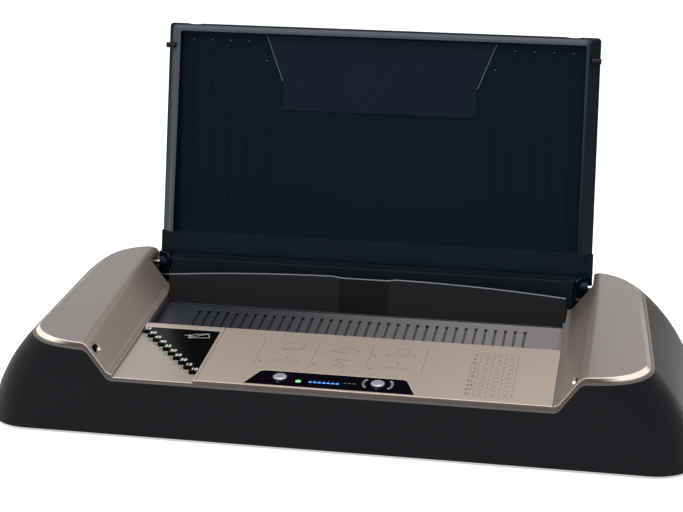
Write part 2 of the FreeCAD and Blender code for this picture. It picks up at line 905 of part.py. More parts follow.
def build_rear_guide():
    """Hollow ledge behind the slot, rounded at its upright corners."""
    y0 = deck_front_y + guide_front
    y1 = deck_front_y + guide_rear
    top = foot_reveal + guide_top_height
    low = foot_reveal + guide_foot_height
    shift = (guide_top_height - guide_foot_height) * tan(slot_lean_deg)
    outline = [(y0, top), (y1, top), (y1, low), (y0 - shift, low)]
    body = prism_x(outline, -guide_half_width, guide_half_width)
    wall = guide_wall
    inner = [(y0 + wall, top - wall), (y1 - wall, top - wall), (y1 - wall, low - overrun),
             (y0 + wall - shift - overrun * tan(slot_lean_deg), low - overrun)]
    hollow = prism_x(inner, -guide_half_width + wall, guide_half_width - wall)
    upright = [edge for edge in body.Edges if abs(abs(edge.CenterOfMass.x) - guide_half_width) < fit_gap
               and edge.CenterOfMass.y < (y0 + y1) / 2 - wall and edge.Length > (top - low) / 2]
    rounded = body.makeFillet(guide_corner_radius, upright)
    rim = [edge for edge in rounded.Edges if edge.BoundBox.ZMin > top - fit_gap
           and edge.CenterOfMass.y < y1 - wall / 2]
    return rounded.makeFillet(guide_edge_radius, rim).cut(hollow)


def build_heater():
    """Ribbed aluminium plate at the slot's foot, its insulator, element and thermostat."""
    y0 = guard_thickness + heater_side_gap
    y1 = guard_thickness + slot_reach() - heater_side_gap
    half = channel_half_width - channel_wall - heater_side_gap
    base = -channel_depth
    insulator_top = base + insulator_thickness
    insulator = block(-half, half, y0, y1, base, insulator_top)
    lane = (y1 - y0) / heater_lane_count
    element = block(-half + lane, half - lane, y0 + lane, y1 - lane, insulator_top - element_thickness,
                    insulator_top)
    insulator = insulator.cut(element)
    plate = block(-half, half, y0, y1, insulator_top, insulator_top + heater_thickness)
    rib_top = insulator_top + heater_thickness
    for index in range(heater_lane_count):
        rib_y = y0 + lane * (index + 1 / 2)
        rib = block(-half, half, rib_y - heater_rib_width / 2, rib_y + heater_rib_width / 2, rib_top,
                    rib_top + heater_rib_height)
        plate = plate.fuse(rib)
    under = base - channel_wall
    middle_y = (y0 + y1) / 2
    thermostat = small_round(thermostat_radius, thermostat_x, middle_y, under - thermostat_height, under)
    frame = slot_frame()
    return [placed(shape, frame) for shape in (plate, insulator, element, thermostat)]


def build_bracket(inner):
    """Right hinge bracket: a wall beside the cover's end, a floor and the pin's boss."""
    wall_x0 = pocket_half_width + fit_gap
    wall_x1 = wall_x0 + bracket_wall
    y0 = deck_front_y + pocket_front - bracket_wall
    y1 = deck_front_y + bracket_rear
    floor_top = foot_reveal + bracket_floor_height
    wall = block(wall_x0, wall_x1, y0, case_depth / 2, floor_top - bracket_wall, hull_height)
    boss_start = vec(wall_x1, hinge_y, hinge_z)
    boss = Part.makeCylinder(bracket_boss_radius, pin_outer_x - wall_x1, boss_start, X_AXIS)
    floor = block(guide_half_width + fit_gap, wall_x0, y0, y1, floor_top - bracket_wall, floor_top)
    bracket = wall.fuse([boss, floor])
    above = lowered(channel(), cover_thickness + fit_gap)
    bracket = bracket.common(inner).cut(above.cut(rear_bay(0, 0)))
    hole = Part.makeCylinder(pin_radius, overrun + pin_outer_x, vec(0, hinge_y, hinge_z), X_AXIS)
    return bracket.cut(hole)


def build_pin():
    start = vec(pin_inner_x, hinge_y, hinge_z)
    return Part.makeCylinder(pin_radius, pin_outer_x - pin_inner_x, start, X_AXIS)


def lid_side(s):
    """Half width of the cover's panel at a distance s from the hinge."""
    return lid_heel_half_width + (lid_half_width - lid_heel_half_width) * s / lid_length


def rim_side(s):
    """Half width of the rim of the cover's side walls at a distance s from the hinge."""
    return lid_rim_heel_half_width + (lid_rim_half_width - lid_rim_heel_half_width) * s / lid_length


def lid_slant():
    """Inward lean of the cover's side walls per length of their depth."""
    return (lid_half_width - lid_rim_half_width) / lid_offset


def lid_loft(inset, rim_inset, start, outer_y, rim_drop, bevel):
    """Shallow dish between a flat panel outline and a smaller rim outline nearer the pins' line."""

    def level(y):
        return lambda x, s: vec(x, y, s)

    def on_rim(x, s):
        return vec(x, s * tan(lid_taper_deg) - rim_drop, s)

    def outline(side, end, gap, corner):
        low = side(start) - gap
        high = side(end) - gap
        top = end - gap
        return [(-low, start, 0), (low, start, 0), (high, top, corner), (-high, top, corner)]

    wires = [outline_wire(outline(lid_side, lid_length, inset + bevel, lid_corner_radius), level(outer_y))]
    if bevel > 0:
        gap = inset + bevel * lid_slant()
        shoulder = outline(lid_side, lid_length, gap, lid_corner_radius)
        wires.append(outline_wire(shoulder, level(outer_y - bevel)))
    wires.append(outline_wire(outline(rim_side, lid_rim_length, rim_inset, lid_rim_corner_radius), on_rim))
    return Part.makeLoft(wires, True, True)


def build_lid_tray():
    """Cover: flat panel, leaning walls, bevelled edge, ribs, plain raised field, finger notches."""
    shell = lid_loft(0, 0, lid_tray_start, lid_offset, lid_rim_drop, lid_edge)
    inner_face = lid_offset - lid_wall
    hollow = lid_loft(lid_wall * (1 + lid_slant()), lid_wall, lid_tray_start - overrun, inner_face,
                      lid_rim_drop + fit_gap, 0)
    tray = shell.cut(hollow)
    ribs = []
    for index in range(lid_rib_count):
        x = lid_rib_start + lid_rib_pitch * index
        rib = block(x - lid_rib_width / 2, x + lid_rib_width / 2, inner_face - lid_rib_height,
                    inner_face + lid_wall / 2, lid_rib_low, lid_rib_high)
        ribs.append(rib)
        ribs.append(mirrored(rib))
    field = [(-field_top_half_width, field_top), (field_top_half_width, field_top),
             (field_low_half_width, field_bend), (field_low_half_width, field_low),
             (-field_low_half_width, field_low), (-field_low_half_width, field_bend)]
    raised = prism_y(field, inner_face - field_thickness, inner_face + lid_wall / 2)
    tray = tray.fuse(ribs + [raised])
    half = finger_notch_width / 2
    notch_radius = (half**2 + finger_notch_depth**2) / (2 * finger_notch_depth)
    notch_s = lid_length - finger_notch_depth + notch_radius
    for x in (-finger_notch_x, finger_notch_x):
        notch = Part.makeCylinder(notch_radius, overrun, vec(x, inner_face, notch_s), Y_AXIS)
        tray = tray.cut(notch)
    return placed(tray, panel_frame()).cut(build_pegs())


def build_hinge_bar():
    """Heel strip of the cover with an ear at each end that carries the pin's boss."""
    inner_face = lid_offset - lid_wall
    low = lid_side(-lid_heel)
    high = lid_side(lid_tray_start)
    corners = [(-low, -lid_heel), (low, -lid_heel), (high, lid_tray_start), (-high, lid_tray_start)]
    strip = prism_y(corners, inner_face, lid_offset)
    side = lid_side(ear_top)
    slope = (side - ear_inner_x) / (ear_bend + ear_reach)
    section = [
        (side, lid_offset),
        (side, ear_bend),
        (ear_inner_x, -ear_reach),
        (ear_inner_x, -ear_reach + ear_thickness / slope),
        (side - ear_thickness, ear_bend + ear_thickness * slope),
        (side - ear_thickness, lid_offset),
    ]
    corners = [vec(x, y, -ear_low) for x, y in section]
    ear = Part.Face(Part.makePolygon(corners + corners[:1])).extrude(vec(0, 0, ear_low + ear_top))
    round_end = Part.makeCylinder(ear_low, side - ear_inner_x, vec(ear_inner_x, 0, 0), X_AXIS)
    web = block(ear_inner_x, side, 0, lid_offset, -lid_heel, ear_top)
    ear = ear.common(round_end.fuse(web))
    boss = Part.makeCylinder(boss_radius, side - ear_thickness - ear_inner_x, vec(ear_inner_x, 0, 0), X_AXIS)
    bore_start = vec(ear_inner_x - overrun, 0, 0)
    bore = Part.makeCylinder(pin_radius + pin_running_gap, 2 * overrun, bore_start, X_AXIS)
    ear = ear.fuse(boss)
    bar = strip.fuse([ear, mirrored(ear)]).cut(bore).cut(mirrored(bore))
    return placed(bar, panel_frame())


def build_pegs():
    """Two short pegs on the cover's side walls that drop into the wings' slots."""
    peg = Part.makeCylinder(peg_radius, peg_outer_x - peg_inner_x, vec(peg_inner_x, 0, peg_distance), X_AXIS)
    return placed(both_sides(peg), lid_frame())


def build_rear_cover(cover_hull):
    """Flat cover behind the slot, at the deck's level."""
    y0 = deck_front_y + bracket_rear + fit_gap
    y1 = case_depth / 2
    half = pocket_half_width - fit_gap
    high = [(y1, deck_z(y1)), (y0, deck_z(y0))]
    low = [(y, z - channel_wall) for y, z in reversed(high)]
    slab = prism_x(low + high, -half, half).common(cover_hull)
    y_guide = deck_front_y + guide_rear + fit_gap
    gap = block(-guide_half_width - fit_gap, guide_half_width + fit_gap, front_y, y_guide, 0, hull_height)
    return slab.cut(gap)


def build_base_plate(close_hull):
    """Bottom plate with vent lines, screw seats and the mains board's posts."""
    slab = block(-case_width, case_width, -case_depth, case_depth, 0, foot_reveal + base_plate_thickness)
    plate = close_hull.common(slab)
    for x, y in screw_places():
        seat = small_round(screw_radius + fit_gap, x, y, 0, foot_reveal + screw_head_height)
        hole = small_round(screw_shank_radius + fit_gap, x, y, 0, overrun)
        plate = plate.cut(seat.fuse(hole))
    for index in range(vent_line_count):
        x = mains_board_x + (index - (vent_line_count - 1) / 2) * vent_line_pitch
        line = block(x - vent_line_width / 2, x + vent_line_width / 2, mains_board_y - vent_line_length / 2,
                     mains_board_y + vent_line_length / 2, 0, overrun)
        plate = plate.cut(line)
    top = foot_reveal + base_plate_thickness
    posts = []
    for x, y in mains_post_places():
        posts.append(small_round(mains_post_radius, x, y, top, top + mains_post_height))
    return plate.fuse(posts)


def mains_post_places():
    reach_x = mains_board_width / 2 - mains_post_radius
    reach_y = mains_board_depth / 2 - mains_post_radius
    return [(mains_board_x + i * reach_x, mains_board_y + j * reach_y) for i in (-1, 1) for j in (-1, 1)]


def foot_places():
    reach_x = case_width / 2 - foot_inset_x
    return {
        "foot_front_left": (-reach_x, front_y + foot_inset_front),
        "foot_front_right": (reach_x, front_y + foot_inset_front),
        "foot_rear_left": (-reach_x, case_depth / 2 - foot_inset_rear),
        "foot_rear_right": (reach_x, case_depth / 2 - foot_inset_rear),
    }


def screw_places():
    reach_x = case_width / 2 - foot_inset_x
    lines_y = (front_y + screw_inset_front, case_depth / 2 - screw_inset_rear)
    return [(i * reach_x, y) for i in (-1, 1) for y in lines_y]


def build_screws():
    screws = []
    for x, y in screw_places():
        head = small_round(screw_radius, x, y, foot_reveal, foot_reveal + screw_head_height)
        shank = small_round(screw_shank_radius, x, y, foot_reveal, foot_reveal + screw_shank_length)
        screws.append(head.fuse(shank))
    return Part.makeCompound(screws)


def build_foot(x, y):
    """Flat rubber pad with clipped corners."""
    half_x = foot_length / 2
    half_y = foot_width / 2
    outline = [
        (half_x - foot_clip, -half_y, 0),
        (half_x, -half_y + foot_clip, 0),
        (half_x, half_y - foot_clip, 0),
        (half_x - foot_clip, half_y, 0),
    ]
    outline.extend([(-a, -b, radius) for a, b, radius in outline])
    pad = plate_z(outline, 0, foot_reveal)
    pad.translate(vec(x, y, 0))
    return pad


def build_mains_board():
    """Mains board on its posts and the transformer's block on it."""
    z0 = foot_reveal + base_plate_thickness + mains_post_height
    board = block(mains_board_x - mains_board_width / 2, mains_board_x + mains_board_width / 2,
                  mains_board_y - mains_board_depth / 2, mains_board_y + mains_board_depth / 2,
                  z0, z0 + board_thickness)
    top = z0 + board_thickness
    left = mains_board_x - transformer_setback
    front = mains_board_y - transformer_depth / 2
    transformer = block(left, left + transformer_width, front, front + transformer_depth, top,
                        top + transformer_height)
    return board, transformer


def rear_face_y(z):
    """Place of the housing's rear face on the centre line at one height."""
    flank = hull_flank(case_depth / 2, lambda out, up: vec(0, out, up))
    level = Part.LineSegment(vec(0, 0, z), vec(0, case_depth, z))
    return Part.Arc(*flank).toShape().distToShape(level.toShape())[1][0][0].y


def build_inlet():
    """Recessed mains inlet in the rear wall: chamfered mouth and three flat pins."""
    rear = rear_face_y(inlet_z + inlet_height / 2) - inlet_wall
    half = inlet_width / 2
    wall = inlet_wall
    z0 = inlet_z - inlet_height / 2
    z1 = inlet_z + inlet_height / 2
    body = block(inlet_x - half, inlet_x + half, rear - inlet_depth, rear, z0, z1)
    left = inlet_x - half + wall
    right = inlet_x + half - wall
    top = z1 - wall
    high = top - inlet_chamfer
    mouth = [(left, z0 + wall), (right, z0 + wall), (right, high), (right - inlet_chamfer, top),
             (left + inlet_chamfer, top), (left, high)]
    back = rear - inlet_depth + wall
    body = body.cut(prism_y(mouth, back, rear + overrun))
    reach = inlet_pin_reach
    rise = inlet_pin_rise
    for x, z in ((-reach, -rise), (0, rise), (reach, -rise)):
        pin = block(inlet_x + x - inlet_pin_width / 2, inlet_x + x + inlet_pin_width / 2, back - wall / 2,
                    rear - wall, inlet_z + z - inlet_pin_height / 2, inlet_z + z + inlet_pin_height / 2)
        body = body.fuse(pin)
    return body


def save(name, shape):
    if shape.isNull() or shape.Volume <= 0:
        raise ValueError(name)
    print(name, len(shape.Solids), round(shape.Volume), shape.isValid())
    shape.exportStep("parts/" + name + ".step")


def main():
    os.makedirs("parts", exist_ok=True)
    outer = hull(0)
    inner = core(shell_wall)
    cover_hull = banded_hull(cover_setback)
    close_hull = core(shell_wall + fit_gap)
    skin = build_skin(cover_hull)
    save("base_tub", build_tub(outer, inner))
    save("rim_band", build_rim(banded_hull(0), inner))
    wing = build_wing(skin)
    save("wing_cover_right", wing)
    save("wing_cover_left", mirrored(wing))
    save("deck_panel", build_deck(skin))
    save("gauge_wedge", build_gauge())
    save("control_panel", build_panel())
    for name, x in button_places().items():
        save(name + "_button", build_button(x))
    green, blues = build_lamps()
    save("ready_lamp", green)
    save("level_lamps", blues)
    board, switches = build_board()
    save("control_board", board)
    save("button_switches", switches)
    save("vent_plate", build_vent_plate())
    save("front_guard", build_guard())
    save("slot_channel", build_channel())
    save("rear_guide", build_rear_guide())
    plate, insulator, element, thermostat = build_heater()
    save("heating_plate", plate)
    save("heater_insulator", insulator)
    save("heater_element", element)
    save("thermostat", thermostat)
    bracket = build_bracket(close_hull)
    save("hinge_bracket_right", bracket)
    save("hinge_bracket_left", mirrored(bracket))
    pin = build_pin()
    save("hinge_pin_right", pin)
    save("hinge_pin_left", mirrored(pin))
    save("lid_tray", build_lid_tray())
    save("lid_hinge_bar", build_hinge_bar())
    save("lid_pegs", build_pegs())
    save("rear_cover", build_rear_cover(cover_hull))
    save("base_plate", build_base_plate(close_hull))
    save("base_screws", build_screws())
    for name, (x, y) in foot_places().items():
        save(name, build_foot(x, y))
    mains, transformer = build_mains_board()
    save("mains_board", mains)
    save("mains_transformer", transformer)
    save("power_inlet", build_inlet())


main()
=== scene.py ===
"""Finishes, printed marks and studio for a thermal binding machine with an open cover."""

import json
import math

import bpy
from mathutils import Matrix, Vector

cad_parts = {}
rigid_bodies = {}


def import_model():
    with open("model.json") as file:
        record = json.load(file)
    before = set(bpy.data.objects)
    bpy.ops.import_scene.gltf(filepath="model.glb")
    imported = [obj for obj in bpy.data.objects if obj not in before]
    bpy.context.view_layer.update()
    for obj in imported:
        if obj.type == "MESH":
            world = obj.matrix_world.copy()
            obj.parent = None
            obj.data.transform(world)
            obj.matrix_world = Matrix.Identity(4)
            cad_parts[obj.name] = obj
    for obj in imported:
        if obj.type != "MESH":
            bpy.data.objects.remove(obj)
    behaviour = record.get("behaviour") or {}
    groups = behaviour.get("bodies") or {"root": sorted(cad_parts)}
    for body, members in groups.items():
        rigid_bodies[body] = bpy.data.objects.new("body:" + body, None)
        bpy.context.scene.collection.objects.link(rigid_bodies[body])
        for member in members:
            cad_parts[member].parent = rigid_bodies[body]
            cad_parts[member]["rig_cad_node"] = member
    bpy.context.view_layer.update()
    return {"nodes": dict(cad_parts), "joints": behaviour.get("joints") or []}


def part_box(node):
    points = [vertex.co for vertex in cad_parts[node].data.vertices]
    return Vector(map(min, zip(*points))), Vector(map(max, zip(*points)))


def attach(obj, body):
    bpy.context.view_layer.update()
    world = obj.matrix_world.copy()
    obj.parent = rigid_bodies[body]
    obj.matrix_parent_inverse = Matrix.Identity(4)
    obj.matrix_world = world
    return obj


bl_info = {
    "name": "Thermal binding machine",
    "version": (1, 0, 0),
    "blender": (4, 5, 0),
    "location": "View3D > Sidebar > Binder",
    "description": "Dresses a thermal binding machine and sets up its studio",
    "category": "Object",
}

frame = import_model()

MM = 0.001
PRINT_LIFT = 0.012 * MM
PRINT_THICKNESS = 0.03 * MM
PANEL_RISE = 0.1 * MM
GAUGE_RISE = 0.3 * MM
TRAY_DROP = 2.2 * MM


def joint_named(name):
    return next(joint for joint in frame["joints"] if joint["name"] == name)


DECK_UP = -Vector(joint_named("power_press")["axis"]).normalized()
DECK_SLOPE = math.atan2(-DECK_UP.y, DECK_UP.z)
HINGE = Vector(joint_named("lid_hinge")["pos_m"])
CASE_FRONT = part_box("base_tub")[0].y
DECK_SETBACK = 2.0 * MM


def deck_place():
    """Frame of the deck's top face: x across, y back from its front edge, z square to it."""
    level = max(DECK_UP.dot(vertex.co) for vertex in frame["nodes"]["deck_panel"].data.vertices)
    y = CASE_FRONT + DECK_SETBACK
    z = (level - DECK_UP.y * y) / DECK_UP.z
    return Matrix.Translation((0, y, z)) @ Matrix.Rotation(DECK_SLOPE, 4, "X")


# Colours as a camera sees them, turned into the shader's linear values


def linear(colour):
    """Shader colour for a colour written the way that a screen shows it."""
    shown = []
    for part in colour[:3]:
        if part <= 0.04045:
            shown.append(part / 12.92)
        else:
            shown.append(((part + 0.055) / 1.055) ** 2.4)
    return (*shown, 1.0)


class Value:
    """A shader socket that takes part in sums, so that masks read as plain arithmetic."""

    def __init__(self, paint, socket):
        self.paint = paint
        self.socket = socket

    def maths(self, operation, first, second):
        settings = {"operation": operation}
        return self.paint.add("ShaderNodeMath", settings, {0: first, 1: second})

    def __add__(self, other):
        return self.maths("ADD", self, other)

    def __radd__(self, other):
        return self.maths("ADD", other, self)

    def __sub__(self, other):
        return self.maths("SUBTRACT", self, other)

    def __rsub__(self, other):
        return self.maths("SUBTRACT", other, self)

    def __mul__(self, other):
        return self.maths("MULTIPLY", self, other)

    def __lt__(self, other):
        return self.maths("LESS_THAN", self, other)

    def __abs__(self):
        return self.maths("ABSOLUTE", self, 0.0)

    def between(self, low, high):
        """Soft step from 0 at low to 1 at high."""
        settings = {"interpolation_type": "SMOOTHSTEP", "clamp": True}
        inputs = {"Value": self, "From Min": low, "From Max": high}
        return self.paint.add("ShaderNodeMapRange", settings, inputs)


class Paint:
    """One finish: a Principled shader and the nodes that vary it over the surface."""

    def __init__(self, name, sockets):
        self.material = bpy.data.materials.new(name)
        self.material.use_nodes = True
        self.tree = self.material.node_tree
        self.shader = self.tree.nodes["Principled BSDF"]
        for socket, value in sockets.items():
            self.shader.inputs[socket].default_value = value
        self.place = self.add("ShaderNodeTexCoord", output="Object")

    def add(self, kind, settings=None, inputs=None, output=0):
        """Adds a node, makes its settings, fills its sockets and returns one of its outputs."""
        node = self.tree.nodes.new(kind)
        for key, value in (settings or {}).items():
            setattr(node, key, value)
        for key, value in (inputs or {}).items():
            if isinstance(value, Value):
                self.tree.links.new(value.socket, node.inputs[key])
            else:
                node.inputs[key].default_value = value
        return Value(self, node.outputs[output])

    def feed(self, socket, value):
        self.tree.links.new(value.socket, self.shader.inputs[socket])

    def stretched(self, scale):
        """Object coordinates multiplied by a scale of their own along each axis."""
        settings = {"vector_type": "POINT"}
        return self.add("ShaderNodeMapping", settings, {"Vector": self.place, "Scale": scale})

    def noise(self, size, detail=2.0, roughness=0.5, vector=None):
        """Soft random pattern from 0 to 1 whose patches are about size metres across."""
        inputs = {"Vector": vector or self.place, "Scale": 1.0 / size}
        inputs.update({"Detail": detail, "Roughness": roughness})
        return self.add("ShaderNodeTexNoise", None, inputs)

    def cells(self, size):
        """Random colour for each small cell about size metres across."""
        inputs = {"Vector": self.place, "Scale": 1.0 / size}
        return self.add("ShaderNodeTexVoronoi", {"feature": "F1"}, inputs, output="Color")

    def mix(self, factor, first, second):
        settings = {"data_type": "RGBA", "blend_type": "MIX"}
        return self.add("ShaderNodeMix", settings, {0: factor, 6: first, 7: second}, output=2)

    def tint(self, colour, amount):
        """Colour made lighter or darker by an amount around 1."""
        settings = {"data_type": "RGBA", "blend_type": "MULTIPLY"}
        grey = self.add("ShaderNodeCombineColor", None, {0: amount, 1: amount, 2: amount})
        return self.add("ShaderNodeMix", settings, {0: 1.0, 6: colour, 7: grey}, output=2)

    def part(self, vector, axis):
        return self.add("ShaderNodeSeparateXYZ", None, {0: vector}, output=axis)

    def soft_edges(self, radius):
        """Normal that turns smoothly over each edge, as a moulded or deburred edge does."""
        return self.add("ShaderNodeBevel", {"samples": 6}, {"Radius": radius})

    def relief(self, height, depth, edge_radius):
        """Feeds the normal with a small relief on top of softened edges."""
        inputs = {"Strength": 1.0, "Distance": depth, "Height": height}
        inputs["Normal"] = self.soft_edges(edge_radius)
        self.feed("Normal", self.add("ShaderNodeBump", None, inputs))


# Turns of a surface, as a part of its normal, between which the paint changes; they place the
# painted shade, painted highlights and painted light below

FRONT_FACING = (-0.96, -0.8)
FRONT_EDGE = (-0.3, -0.12)
RISING = (0.12, 0.4)
LEVEL = (0.8, 0.97)
TOP_FACING = (0.5, 0.8)

# Places between which a finish changes, most of them for painted light and shade: across from the
# middle, back from the case's front, or up from the guard's foot

# Painted light grows over this span towards the right
PAINTED_LIGHT_RIGHT = (0.0, 160 * MM)
HINGE_END = (96 * MM, 160 * MM)
TRAY_LEFT = (-160 * MM, -158 * MM)
TRAY_RIGHT = (-99.4 * MM, -98.9 * MM)
TRAY_REAR = (84.6 * MM, 87.4 * MM)
VENT_SHADING = (-120 * MM, 150 * MM)
GUARD_MIDDLE = (19 * MM, 20.5 * MM)
GUARD_FOOT_BAND = (0.8 * MM, 1.2 * MM)
LID_RIGHT_WALL = (160 * MM, 166 * MM)

# The cover's section, measured from the panel's inner face or from its rim

LID_WALL_START = (-1.6 * MM, -1.0 * MM)
LID_FIELD_RISE = 0.55 * MM
LID_RIM_DROP = 1.0 * MM
LID_RIM_TAPER = math.radians(1.9)
# Band of the lit wall that takes a dimmer grey, as painted light
LID_OUTER_BAND = (3.4 * MM, 4.2 * MM)


# Finishes


def satin_paint(name, colour, slope_painted_light_colour, lip_painted_shade_colour, painted_highlight_colour, flake_size, edge_radius):
    """Metallic paint with fine flakes. Painted shade darkens its forward faces and a painted
    highlight runs along its front edge. Its leaning walls are painted lighter than its tops as
    painted light, darker towards the hinge as a painted reflection of the dark cover, and darker
    towards the right as painted shade; its tops are painted lighter towards the right as painted
    light, and its recessed tray darker as painted shade.
    """
    paint = Paint(name, {"Coat Weight": 0.12, "Coat Roughness": 0.2, "Coat IOR": 1.4})
    flakes = paint.part(paint.cells(flake_size), 0)
    cloud = paint.noise(90 * MM, 3.0)
    amount = 0.965 + flakes * 0.05 + (cloud - 0.5) * 0.05
    across = paint.part(paint.place, 0)
    back = paint.part(paint.place, 1) - CASE_FRONT
    turned = paint.soft_edges(1.3 * MM)
    facing = paint.part(turned, 1)
    rising = paint.part(turned, 2)
    normal = paint.add("ShaderNodeNewGeometry", output="Normal")
    # Painted shade on the forward faces
    lip = 1.0 - facing.between(*FRONT_FACING)
    # Painted highlight along the front edge
    line = (1.0 - facing.between(*FRONT_EDGE)) * rising.between(*RISING)
    # Walls and tops take different colours as painted light
    level = paint.part(normal, 2).between(*LEVEL)
    # Painted light: tops lighter and walls darker towards the right
    right = across.between(*PAINTED_LIGHT_RIGHT)
    # Painted reflection of the dark cover: walls darker towards the hinge
    lid_reflection = back.between(*HINGE_END)
    # Painted shade: the recessed tray is darker
    tray = (1.0 - across.between(*TRAY_RIGHT)) * (1.0 - back.between(*TRAY_REAR))
    tray = tray * across.between(*TRAY_LEFT)
    walls = paint.tint(linear(slope_painted_light_colour), (1.0 - lid_reflection * 0.45) * (1.0 - right * 0.28))
    flat = paint.mix(tray * 0.75, linear(colour), linear(slope_painted_light_colour))
    flat = paint.tint(flat, (1.0 - tray * 0.2) * (1.0 + right * 0.14))
    body = paint.mix(line, paint.mix(level, walls, flat), linear(painted_highlight_colour))
    paint.feed("Base Color", paint.tint(paint.mix(lip, body, linear(lip_painted_shade_colour)), amount))
    paint.feed("Metallic", 0.3 - tray * 0.25)
    paint.feed("Roughness", 0.36 + (paint.noise(14 * MM, 4.0) - 0.5) * 0.06 + (flakes - 0.5) * 0.05)
    paint.relief(paint.noise(0.9 * MM, 2.0), 0.012 * MM, edge_radius)
    return paint.material


def moulded_plastic(name, colour, roughness, edge_radius, specular=0.35, grain=0.5, depth=0.02):
    """Injection-moulded plastic with a fine spark-eroded grain and slight mottling."""
    paint = Paint(name, {"Specular IOR Level": specular})
    cloud = paint.noise(60 * MM, 4.0, 0.6)
    fine = paint.noise(grain * MM, 3.0, 0.65)
    paint.feed("Base Color", paint.tint(linear(colour), 0.94 + cloud * 0.12 + (fine - 0.5) * 0.10))
    paint.feed("Roughness", roughness + (cloud - 0.5) * 0.08 + (fine - 0.5) * 0.10)
    paint.relief(fine, depth * MM, edge_radius)
    return paint.material


def gloss_plastic(name, colour, roughness, edge_radius, specular):
    """Polished plastic with faint smears and a barely wavy surface."""
    paint = Paint(name, {"Specular IOR Level": specular})
    smear = paint.noise(25 * MM, 5.0, 0.7, paint.stretched((1.0, 1.0, 0.35)))
    paint.feed("Base Color", paint.tint(linear(colour), 0.95 + smear * 0.1))
    paint.feed("Roughness", roughness + (smear - 0.5) * 0.08)
    paint.relief(paint.noise(18 * MM, 1.0), 0.03 * MM, edge_radius)
    return paint.material


def satin_metal(name, colour, roughness, edge_radius, metallic, along):
    """Brushed or satin metal whose fine lines run along one axis."""
    paint = Paint(name, {"Specular IOR Level": 0.5, "Metallic": metallic})
    lines = paint.noise(0.25 * MM, 3.0, 0.6, paint.stretched(along))
    cloud = paint.noise(45 * MM, 3.0)
    paint.feed("Base Color", paint.tint(linear(colour), 0.93 + lines * 0.08 + cloud * 0.06))
    paint.feed("Roughness", roughness + (lines - 0.5) * 0.12 + (cloud - 0.5) * 0.06)
    paint.relief(lines, 0.004 * MM, edge_radius)
    return paint.material


def vent_metal(name, colour, shade_colour):
    """Satin lacquered plate with fine lines from side to side, painted darker towards its left end
    as painted shade and lighter to its right as painted light.
    """
    paint = Paint(name, {"Metallic": 0.25, "Specular IOR Level": 0.25})
    across = paint.part(paint.place, 0)
    lines = paint.noise(0.25 * MM, 3.0, 0.6, paint.stretched((0.02, 1.0, 1.0)))
    # Painted shade towards the left end, painted light towards the right
    shaded = paint.mix(across.between(*VENT_SHADING), linear(shade_colour), linear(colour))
    paint.feed("Base Color", paint.tint(shaded, 0.95 + lines * 0.1))
    paint.feed("Roughness", 0.42 + (lines - 0.5) * 0.12)
    paint.relief(lines, 0.004 * MM, 0.3 * MM)
    return paint.material


def lid_plastic(name, look):
    """Glossy cover: its leaning side walls are painted grey as painted light, with part of the lit
    wall a dimmer grey, the right wall darker as painted shade, and a field a shade lighter.
    """
    paint = Paint(name, {"Specular IOR Level": 0.05})
    across = paint.part(paint.place, 0)
    y = paint.part(paint.place, 1) - HINGE.y
    z = paint.part(paint.place, 2) - HINGE.z
    depth = y * math.cos(look.lean) - z * math.sin(look.lean)
    rise = y * math.sin(look.lean) + z * math.cos(look.lean)
    above_rim = depth - rise * math.tan(LID_RIM_TAPER) + LID_RIM_DROP
    wall = 1.0 - (depth - look.panel_depth).between(*LID_WALL_START)
    raised = (depth < look.panel_depth - LID_FIELD_RISE) * (1.0 - wall)
    # Painted shade: the right wall takes the darker colour
    right = across.between(*LID_RIGHT_WALL)
    # Painted light: a dimmer grey on part of the lit wall
    outer = wall * above_rim.between(*LID_OUTER_BAND) * (1.0 - right)
    panel = paint.mix(raised, linear(look.panel), linear(look.field))
    # Painted light on the walls: grey on the lit wall, darker on the right one
    side = paint.mix(right, linear(look.side), linear(look.side_shade))
    colour = paint.mix(outer, paint.mix(wall, panel, side), linear(look.outer))
    smear = paint.noise(60 * MM, 4.0, 0.6, paint.stretched((1.0, 1.0, 0.4)))
    paint.feed("Base Color", paint.tint(colour, 0.94 + smear * 0.12))
    paint.feed("Roughness", 0.22 + wall * 0.2 + (smear - 0.5) * 0.08)
    paint.relief(paint.noise(0.7 * MM, 2.0), 0.006 * MM, 0.5 * MM)
    return paint.material


def guard_plastic(name, colour, recess_shade_colour, painted_highlight_colour, foot_level):
    """Black guard with painted highlights on its top edge and foot, and painted shade that makes
    the middle below its notch a deeper black.
    """
    paint = Paint(name, {"Specular IOR Level": 0.1})
    fine = paint.noise(0.35 * MM, 3.0, 0.65)
    # Painted shade: the recessed middle below the notch is a deeper black
    middle = 1.0 - abs(paint.part(paint.place, 0)).between(*GUARD_MIDDLE)
    # Painted highlight along the top edge
    top = paint.part(paint.soft_edges(0.6 * MM), 2).between(*TOP_FACING)
    # Painted highlight along the foot
    foot = 1.0 - (paint.part(paint.place, 2) - foot_level).between(*GUARD_FOOT_BAND)
    body = paint.mix(middle, linear(colour), linear(recess_shade_colour))
    body = paint.mix(foot * 0.8 + top * (1.0 - foot), body, linear(painted_highlight_colour))
    paint.feed("Base Color", paint.tint(body, 0.94 + fine * 0.12))
    paint.feed("Roughness", 0.38 + (fine - 0.5) * 0.1)
    paint.relief(fine, 0.01 * MM, 0.5 * MM)
    return paint.material


def lamp_glow(name, colour, strength, size):
    """Lit lens with small facets, some brighter than others."""
    paint = Paint(name, {"Roughness": 0.12, "Emission Strength": strength})
    facets = paint.noise(size, 1.0)
    paint.feed("Base Color", paint.tint(linear(colour), 0.6 + facets * 0.4))
    paint.feed("Emission Color", paint.tint(linear(colour), 0.45 + facets * 1.0))
    paint.relief(facets, 0.02 * MM, 0.2 * MM)
    return paint.material


